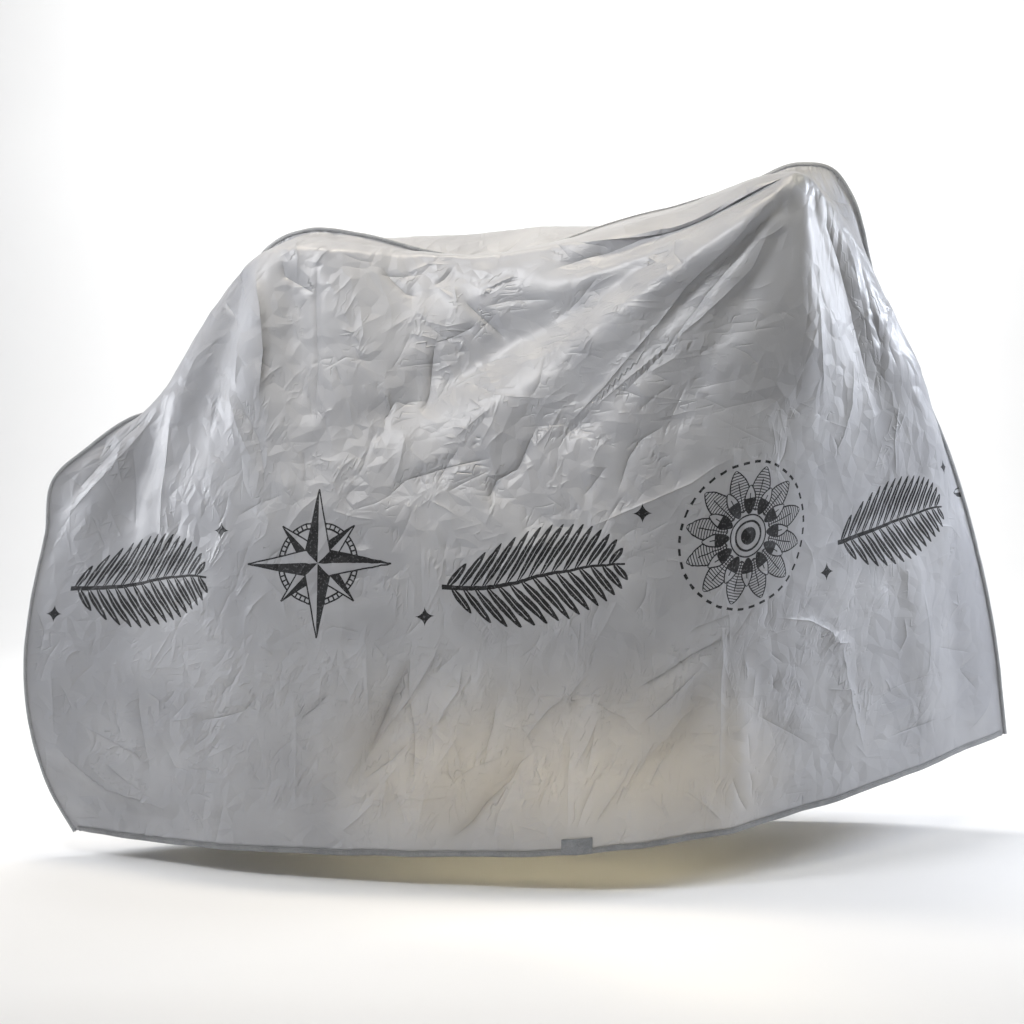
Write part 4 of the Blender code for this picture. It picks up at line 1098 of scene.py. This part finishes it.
def printedInk(paint, u, v):
    # 1 where the film is printed
    pitch, line = printBand["pitch"], printBand["line"]
    u, v = u / printBand["scale"], (v - printBand["height"]) / printBand["scale"]
    place = (u - printBand["start"]) / pitch
    number = place.maths("FLOOR")
    x = (place - number - 0.5) * pitch
    turn = (number * 0.5).maths("FRACT") * 2  # 0 for a spray, 1 for a round motif
    kind = ((number - 1) * 0.25).maths("FRACT") > 0.4  # which round motif
    y = v - (turn - 0.5) * (2 * printBand["stagger"])
    radius = (x * x + y * y).maths("SQRT")
    angle = y.maths("ARCTAN2", x)

    # rosette: two rings of petals round a button
    def petals(count, shift, inner, outer, halfWidth):
        folded = ((angle + shift) * (count / (2 * math.pi))).maths("FRACT") - 0.5
        across = (folded * (2 * math.pi / count)).maths("SINE") * radius
        share = ((radius - inner) / (outer - inner)).maths("MAXIMUM", 0.0).maths("MINIMUM", 1.0)
        edge = (share * math.pi).maths("SINE").maths("POWER", 0.75) * halfWidth
        inside = abs(across) < edge
        rim = abs(abs(across) - edge) < line
        vein = (abs(across) < line * 0.7) & (share < 0.72)
        band = (radius > inner) & (radius < outer)
        return inside & band, (rim | vein) & band

    bigArea, bigLines = petals(12, 0.0, 0.034, 0.094, 0.0150)
    smallArea, smallLines = petals(12, math.pi / 12, 0.030, 0.070, 0.0085)
    hatch = (abs((radius * 260.0).maths("FRACT") - 0.5) < 0.17) & bigArea
    button = ((radius < 0.012) | (abs(radius - 0.020) < line * 1.4)) | (abs(radius - 0.0285) < line)
    dashes = (angle * (36 / (2 * math.pi))).maths("FRACT") - 0.5
    beads = (abs(dashes) < 0.27) & (abs(radius - 0.1005) < 0.0018)
    bigOnes = (bigLines | hatch) & (1 - smallArea)
    rosette = ((bigOnes | smallLines | (smallArea & (radius < 0.052))) | button) | beads

    # star: two sets of four points, each point dark on one flank
    def starPoints(shift, reach, waist):
        turned = ((angle + shift) * (2 / math.pi)).maths("FRACT") - 0.5
        lean = turned * (math.pi / 2)
        along = lean.maths("COSINE") * radius
        away = lean.maths("SINE") * radius
        edge = (reach - along) * (waist / reach)
        inside = (abs(away) < edge) & (along > 0)
        rim = (abs(abs(away) - edge) < line) & (along < reach)
        return inside, rim, inside & (away > 0)

    longArea, longRim, longDark = starPoints(math.pi / 4, 0.104, 0.021)
    shortArea, shortRim, shortDark = starPoints(0.0, 0.074, 0.019)
    rings = (abs(radius - 0.050) < line * 1.2) | (abs(radius - 0.057) < line)
    dashes = (angle * (48 / (2 * math.pi))).maths("FRACT") - 0.5
    ticks = (abs(dashes) < 0.16) & (abs(radius - 0.0535) < 0.0035)
    shortOnes = (shortRim | shortDark) | ((rings | ticks) & (1 - shortArea))
    star = (longRim | longDark) | (shortOnes & (1 - longArea))

    # fern spray: leaves on both sides of a bent stem
    lift = y - ((x * 16.0).maths("SINE") * 0.010)
    stem = (abs(lift) < (0.0024 - x * 0.008).maths("MAXIMUM", 0.0008)) & (abs(x) < 0.126)
    side = (lift > 0)
    sheared = (x - abs(lift) * 0.75 + side * 0.0062 + 0.2) / 0.0160
    leaf = (sheared.maths("FRACT") - 0.5) * 0.0160
    middle = (sheared.maths("FLOOR") + 0.5) * 0.0160 - 0.2
    oval = (1.0 - (middle / 0.124) * (middle / 0.124)).maths("MAXIMUM", 0.0)
    long = oval.maths("SQRT") * (0.066 - middle * 0.13)
    share = (abs(lift) / (long + 0.0001)).maths("MINIMUM", 1.0)
    half = ((share * 0.94 + 0.05) * math.pi).maths("SINE").maths("MAXIMUM", 0.0).maths("POWER", 0.7) * 0.0064
    leafArea = (abs(leaf) < half) & (share < 0.98)
    leafVein = (abs(leaf) < 0.0006) & (share < 0.80)
    spray = (leafArea & (1 - leafVein)) | stem
    spray = spray & (abs(x) < 0.130)

    # small four-point marks between the motifs
    gapX = abs(((place + 0.5).maths("FRACT") - 0.5) * pitch)
    gapY = abs(v - 0.062 * (((place + 0.5).maths("FLOOR") * 0.5).maths("FRACT") * 4 - 1))
    mark = (gapX.maths("POWER", 0.6) + gapY.maths("POWER", 0.6)) < 0.014**0.6

    round_ = (rosette & kind) | (star & (1 - kind))
    return ((round_ & turn) | (spray & (1 - turn))) | mark


def filmMaterial(name, printed):
    paint = Paint(name)
    uv, u, v = paint.clothPlace()
    space = paint.add("ShaderNodeTexCoord", None, out=3)
    flatNoise = {"noise_dimensions": "2D"}  # on the film's own map, where flat patterns are quick
    worn = paint.add("ShaderNodeTexNoise", flatNoise, Vector=uv, Scale=260.0, Detail=1.0, Roughness=0.6)
    cloud = paint.add("ShaderNodeTexNoise", flatNoise, Vector=uv, Scale=5.0, Detail=3.0, Roughness=0.55)
    ink = 0.0
    if printed:
        ink = printedInk(paint, u, v) * paint.range(worn, 0.28, 0.40, 0.86, 1.0)
    silver = paint.blend(paint.range(cloud, 0.35, 0.65), filmLook["silver"], filmLook["paleSilver"])
    # darker disc painted where something firm presses from inside and keeps light from coming through the film:
    # painted shade; the light through the film is cut there as well
    off = paint.add("ShaderNodeVectorMath", {"operation": "SUBTRACT"}, space, pressShadeDisc["centre"])
    away = paint.add("ShaderNodeVectorMath", {"operation": "LENGTH"}, off, out=1)
    pressShade = 1 - paint.range(away, pressShadeDisc["radius"] - 0.003, pressShadeDisc["radius"] + 0.001)
    silver = paint.blend(pressShade * 0.55, silver, pressShadeDisc["shade"])
    colour = paint.blend(ink, silver, printBand["ink"])
    # crinkles: a broken pattern whose cells rise or sink from their edges
    bent = paint.add("ShaderNodeTexNoise", flatNoise, Vector=uv, Scale=7.0, Detail=2.0, out=1)
    pulled = paint.add("ShaderNodeVectorMath", {"operation": "MULTIPLY_ADD"}, bent, (0.05, 0.05, 0.05), uv)
    relief = 0.0
    for cells, lean in filmLook["crinkles"]:
        nearest = {"voronoi_dimensions": "2D", "feature": "F1"}
        facet = paint.add("ShaderNodeTexVoronoi", nearest, Vector=pulled, Scale=cells, out=1)
        edges = {"voronoi_dimensions": "2D", "feature": "DISTANCE_TO_EDGE"}
        rim = paint.add("ShaderNodeTexVoronoi", edges, Vector=pulled, Scale=cells)
        rise = paint.add("ShaderNodeSeparateColor", None, facet) - 0.5
        relief = rise * rim * (lean / cells) + relief
    # crisp lines of the creases, from what each panel keeps about its nearest ones
    for label, strength in filmLook["lines"]:
        off = abs(paint.add("ShaderNodeAttribute", {"attribute_name": f"{label}Away"}, out=2))
        depth = paint.add("ShaderNodeAttribute", {"attribute_name": f"{label}Depth"}, out=2)
        relief = relief + depth * strength * (off / (0 - filmLook["lineWidth"])).maths("EXPONENT")
    bump = paint.add("ShaderNodeBump", None, Strength=1.0, Distance=1.0, Height=relief)
    low, high = filmLook["roughness"]
    skin = paint.add(
        "ShaderNodeBsdfPrincipled", None, Base_Color=colour,
        Roughness=paint.range(cloud, 0.3, 0.7, low, high) + ink * 0.12, Normal=bump,
        Coat_Weight=0.12 * (1 - ink),
    )
    skin.socket.node.inputs["Specular IOR Level"].default_value = 0.45
    skin.socket.node.inputs["Coat Roughness"].default_value = 0.25
    glow = paint.add("ShaderNodeBsdfTranslucent", None, (*filmLook["throughColour"], 1.0), Normal=bump)
    through = filmLook["lightThrough"] * ((1 - ink) * (1 - pressShade * 0.7))
    both = paint.add("ShaderNodeMixShader", None, through, skin, glow)
    return paint.finish(both)


tapeLook = {
    "hem": ((0.200, 0.205, 0.212), (0.300, 0.305, 0.312)),
    "seam": ((0.300, 0.308, 0.322), (0.420, 0.428, 0.440)),
    "patch": ((0.170, 0.180, 0.192), (0.255, 0.265, 0.280)),
    "roughness": 0.66,
    "weavePitch": 0.00085,
    "weaveDepth": 0.00012,
}


def tapeMaterial(name, grey, paleGrey):
    paint = Paint(name)
    uv, u, v = paint.clothPlace()
    turns = math.pi / tapeLook["weavePitch"]
    warp = (u * turns).maths("SINE") * (v * turns).maths("SINE")
    rib = ((u + v) * (turns * 0.5)).maths("SINE")
    space = paint.add("ShaderNodeTexCoord", None, out=3)
    fuzz = paint.add("ShaderNodeTexNoise", None, Vector=space, Scale=420.0, Detail=3.0, Roughness=0.65)
    wear = paint.add("ShaderNodeTexNoise", None, Vector=space, Scale=38.0, Detail=3.0, Roughness=0.6)
    mix = paint.range(fuzz * 0.5 + wear * 0.5 + warp * 0.05, 0.36, 0.64)
    colour = paint.blend(mix, grey, paleGrey)
    relief = (warp * 0.6 + rib * 0.4) * tapeLook["weaveDepth"] + fuzz * 0.00022
    bump = paint.add("ShaderNodeBump", None, Strength=1.0, Distance=1.0, Height=relief)
    cloth = paint.add(
        "ShaderNodeBsdfPrincipled", None, Base_Color=colour,
        Roughness=paint.range(fuzz, 0.3, 0.7, tapeLook["roughness"] - 0.08, tapeLook["roughness"] + 0.12),
        Normal=bump,
    )
    cloth.socket.node.inputs["Sheen Weight"].default_value = 0.25
    cloth.socket.node.inputs["Sheen Roughness"].default_value = 0.5
    return paint.finish(cloth)


threadLook = {"colour": (0.050, 0.052, 0.058), "paleColour": (0.11, 0.112, 0.12), "roughness": 0.55}


def threadMaterial(name):
    paint = Paint(name)
    space = paint.add("ShaderNodeTexCoord", None, out=3)
    diagonal = {"bands_direction": "DIAGONAL"}
    twist = paint.add("ShaderNodeTexWave", diagonal, Vector=space, Scale=900.0, Distortion=2.0, out=1)
    fuzz = paint.add("ShaderNodeTexNoise", None, Vector=space, Scale=300.0, Detail=2.0)
    colour = paint.blend(paint.range(fuzz, 0.35, 0.65), threadLook["colour"], threadLook["paleColour"])
    bump = paint.add("ShaderNodeBump", None, Strength=0.5, Distance=0.0001, Height=twist)
    cord = paint.add(
        "ShaderNodeBsdfPrincipled", None, Base_Color=colour, Roughness=threadLook["roughness"], Normal=bump
    )
    return paint.finish(cord)


print("building the panels")
film = (filmMaterial("silverFilmPrinted", True), filmMaterial("silverFilm", False))
hemGrey = tapeMaterial("hemTapeGrey", *tapeLook["hem"])
seamGrey = tapeMaterial("seamTapeGrey", *tapeLook["seam"])
patchGrey = tapeMaterial("patchGrey", *tapeLook["patch"])
thread = threadMaterial("darkThread")

seamLine = {
    "out": 0.0024,  # a narrow tape stands out as far as the solid's wider one
    "wander": 0.0012,  # it wanders a little between its fixed places
    "wanderLength": 0.045,
}
path, leans = seamPath()
out, near = seamFrames(path, leans)
wander = seamLine["wander"] * unevenness(lengthsAlong(path), 1.7, seamLine["wanderLength"])
path = path + near * wander[:, None] + out * seamLine["out"]

tree, sockets = stitchTree()
panels = {}
for label, levels, folds, creases, side in (
    ("near", nearLevels, nearFolds, nearCreases, -1),
    ("far", farLevels, farFolds, farCreases, 1),
):
    grid, lines = panelGrid(levels, folds, creases, side, 11 if side < 0 else 23)
    panel, surface = addPanel(f"filmPanel_{label}", grid, lines, path, out, near, side, film)
    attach(panel, "root")
    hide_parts(f"panel_{label}")
    panels[label] = (panel, surface, side)
    print(f"  {label} panel: {len(panel.data.polygons)} faces before its thickness")

print("building the tapes")
seamRings = seamTapeRings(path, out, near)
seamTape = addTape("seamTape", seamRings, seamGrey)
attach(seamTape, "root")
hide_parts("seam_binding")

outerCorners = 2 * bindingTape["steps"] + 5
stitchShare = 0.62  # how far up the seam tape's side its stitches run
nearLine = seamRings[:, 1] * stitchShare + seamRings[:, 0] * (1 - stitchShare)
farLine = seamRings[:, outerCorners - 2] * stitchShare + seamRings[:, outerCorners - 1] * (1 - stitchShare)
seamStitches = addStitches("seamStitches", [nearLine, farLine], tree, sockets, thread)
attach(seamStitches, "root")

for label, (panel, surface, side) in panels.items():
    rings = hemTapeRings(surface, side)
    hemTape = addTape(f"hemTape_{label}", rings, hemGrey)
    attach(hemTape, "root")
    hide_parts(f"hem_binding_{label}")
    outerLine = (rings[:, 0] * 0.5 + rings[:, 1] * 0.5)[1:-1]
    innerLine = (rings[:, outerCorners - 1] * 0.5 + rings[:, outerCorners - 2] * 0.5)[1:-1]
    stitches = addStitches(f"hemStitches_{label}", [outerLine, innerLine], tree, sockets, thread)
    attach(stitches, "root")

patch = addPatch("hemPatch", panels["near"][1], -1, patchGrey)
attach(patch, "root")
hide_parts("hem_patch")

for label, (panel, surface, side) in panels.items():
    extra = [patch] if label == "near" else []

print("setting the floor, lights and camera")
studio = {
    "floorHeight": -1.120,
    "floorColour": (0.86, 0.86, 0.86),
    "world": (1.0, 1.0, 1.0),
    "worldStrength": 0.04,
}


def addStage():
    paint = Paint("paleFloor")
    space = paint.add("ShaderNodeTexCoord", None, out=3)
    mottle = paint.add("ShaderNodeTexNoise", None, Vector=space, Scale=2.0, Detail=4.0)
    base = studio["floorColour"]
    colour = paint.blend(paint.range(mottle, 0.3, 0.7), tuple(c * 0.985 for c in base), base)
    matt = paint.add("ShaderNodeBsdfPrincipled", None, Base_Color=colour, Roughness=0.9)
    material = paint.finish(matt)
    # floor that curves up into a backdrop
    depth = [(-6.0, 0.0), (3.2, 0.0)] + [
        (3.2 + 1.6 * math.sin(a), 1.6 - 1.6 * math.cos(a)) for a in np.linspace(0.1, math.pi / 2, 14)
    ] + [(4.8, 7.0)]
    points = [(x, y, z) for y, z in depth for x in (-9.0, 9.0)]
    faces = [(2 * k, 2 * k + 1, 2 * k + 3, 2 * k + 2) for k in range(len(depth) - 1)]
    mesh = bpy.data.meshes.new("studioFloor")
    mesh.from_pydata([(x, y, z + studio["floorHeight"]) for x, y, z in points], [], faces)
    mesh.shade_smooth()
    mesh.materials.append(material)
    floor = bpy.data.objects.new("studioFloor", mesh)
    bpy.context.scene.collection.objects.link(floor)


# name, place, aim, width, depth, watts, colour, spread in degrees
lampRows = (
    ("leftPanel", (-3.0, -0.50, 0.0), (-0.15, -0.1, -0.45), 1.0, 1.0, 9.0, (0.93, 0.95, 1.0), 180),
    ("leftBehind", (-2.0, 0.15, -0.2), (-0.6, 0.0, -0.4), 0.6, 0.6, 12.0, (0.94, 0.96, 1.0), 180),
    ("lowLeft", (-1.6, -1.3, -0.6), (-0.4, -0.1, -0.6), 0.5, 0.5, 2.0, (0.92, 0.95, 1.0), 180),
    ("rightPanel", (1.9, -0.35, 0.1), (0.6, -0.1, -0.2), 0.6, 0.6, 13.5, (0.90, 0.93, 1.0), 180),
    ("rightBehind", (1.9, 0.15, 0.15), (0.65, 0.0, -0.10), 0.6, 0.6, 12.0, (0.85, 0.90, 1.0), 130),
    ("topLeft", (-1.05, -1.05, 0.85), (-0.10, -0.1, -0.12), 0.45, 0.45, 7.6, (0.98, 0.985, 1.0), 110),
    ("topRight", (0.75, -0.95, 0.95), (0.22, -0.1, -0.12), 0.45, 0.45, 2.6, (1.0, 0.95, 0.80), 110),
    ("top", (-0.45, -0.12, 1.7), (-0.40, 0.0, 0.0), 1.0, 0.3, 8.0, (1.0, 0.89, 0.72), 100),
    ("backdropWash", (0.0, 1.2, 2.4), (0.0, 4.6, 0.4), 3.0, 1.0, 250.0, (1.0, 1.0, 1.0), 180),
    ("floorWash", (0.0, -1.4, 0.9), (0.0, -1.1, -1.12), 2.6, 0.5, 2.8, (1.0, 0.98, 0.94), 75),
    ("hemGlow", (-0.12, 0.12, -0.98), (-0.12, -0.25, -0.93), 0.62, 0.04, 2.4, (1.0, 0.84, 0.50), 44),
)


def addLamps():
    for name, place, aim, width, depth, watts, colour, spread in lampRows:
        lamp = bpy.data.lights.new(name, "AREA")
        lamp.shape = "RECTANGLE"
        lamp.size, lamp.size_y = width, depth
        lamp.energy, lamp.color, lamp.spread = watts, colour, math.radians(spread)
        holder = bpy.data.objects.new(name, lamp)
        holder.location = place
        holder.rotation_euler = (Vector(aim) - Vector(place)).to_track_quat("-Z", "Y").to_euler()
        bpy.context.scene.collection.objects.link(holder)
    world = bpy.data.worlds.new("studioWorld")
    world.use_nodes = True
    sky = world.node_tree.nodes["Background"]
    sky.inputs["Color"].default_value = (*studio["world"], 1.0)
    sky.inputs["Strength"].default_value = studio["worldStrength"]
    bpy.context.scene.world = world


lookout = {
    "place": (-0.193, -2.870, -0.426),
    "pitch": math.atan(47 / 1582),  # down, from where the horizon lies in the picture
    "focalPixels": 1582,  # for a picture 1024 wide
}


def addCamera():
    eye = bpy.data.cameras.new("photoView")
    eye.sensor_width = 36.0
    eye.lens = lookout["focalPixels"] / 1024 * 36.0
    holder = bpy.data.objects.new("photoView", eye)
    holder.location = lookout["place"]
    holder.rotation_euler = (math.pi / 2 - lookout["pitch"], 0.0, 0.0)
    bpy.context.scene.collection.objects.link(holder)
    bpy.context.scene.camera = holder


addStage()
addLamps()
addCamera()
bpy.context.scene.view_settings.view_transform = "Standard"
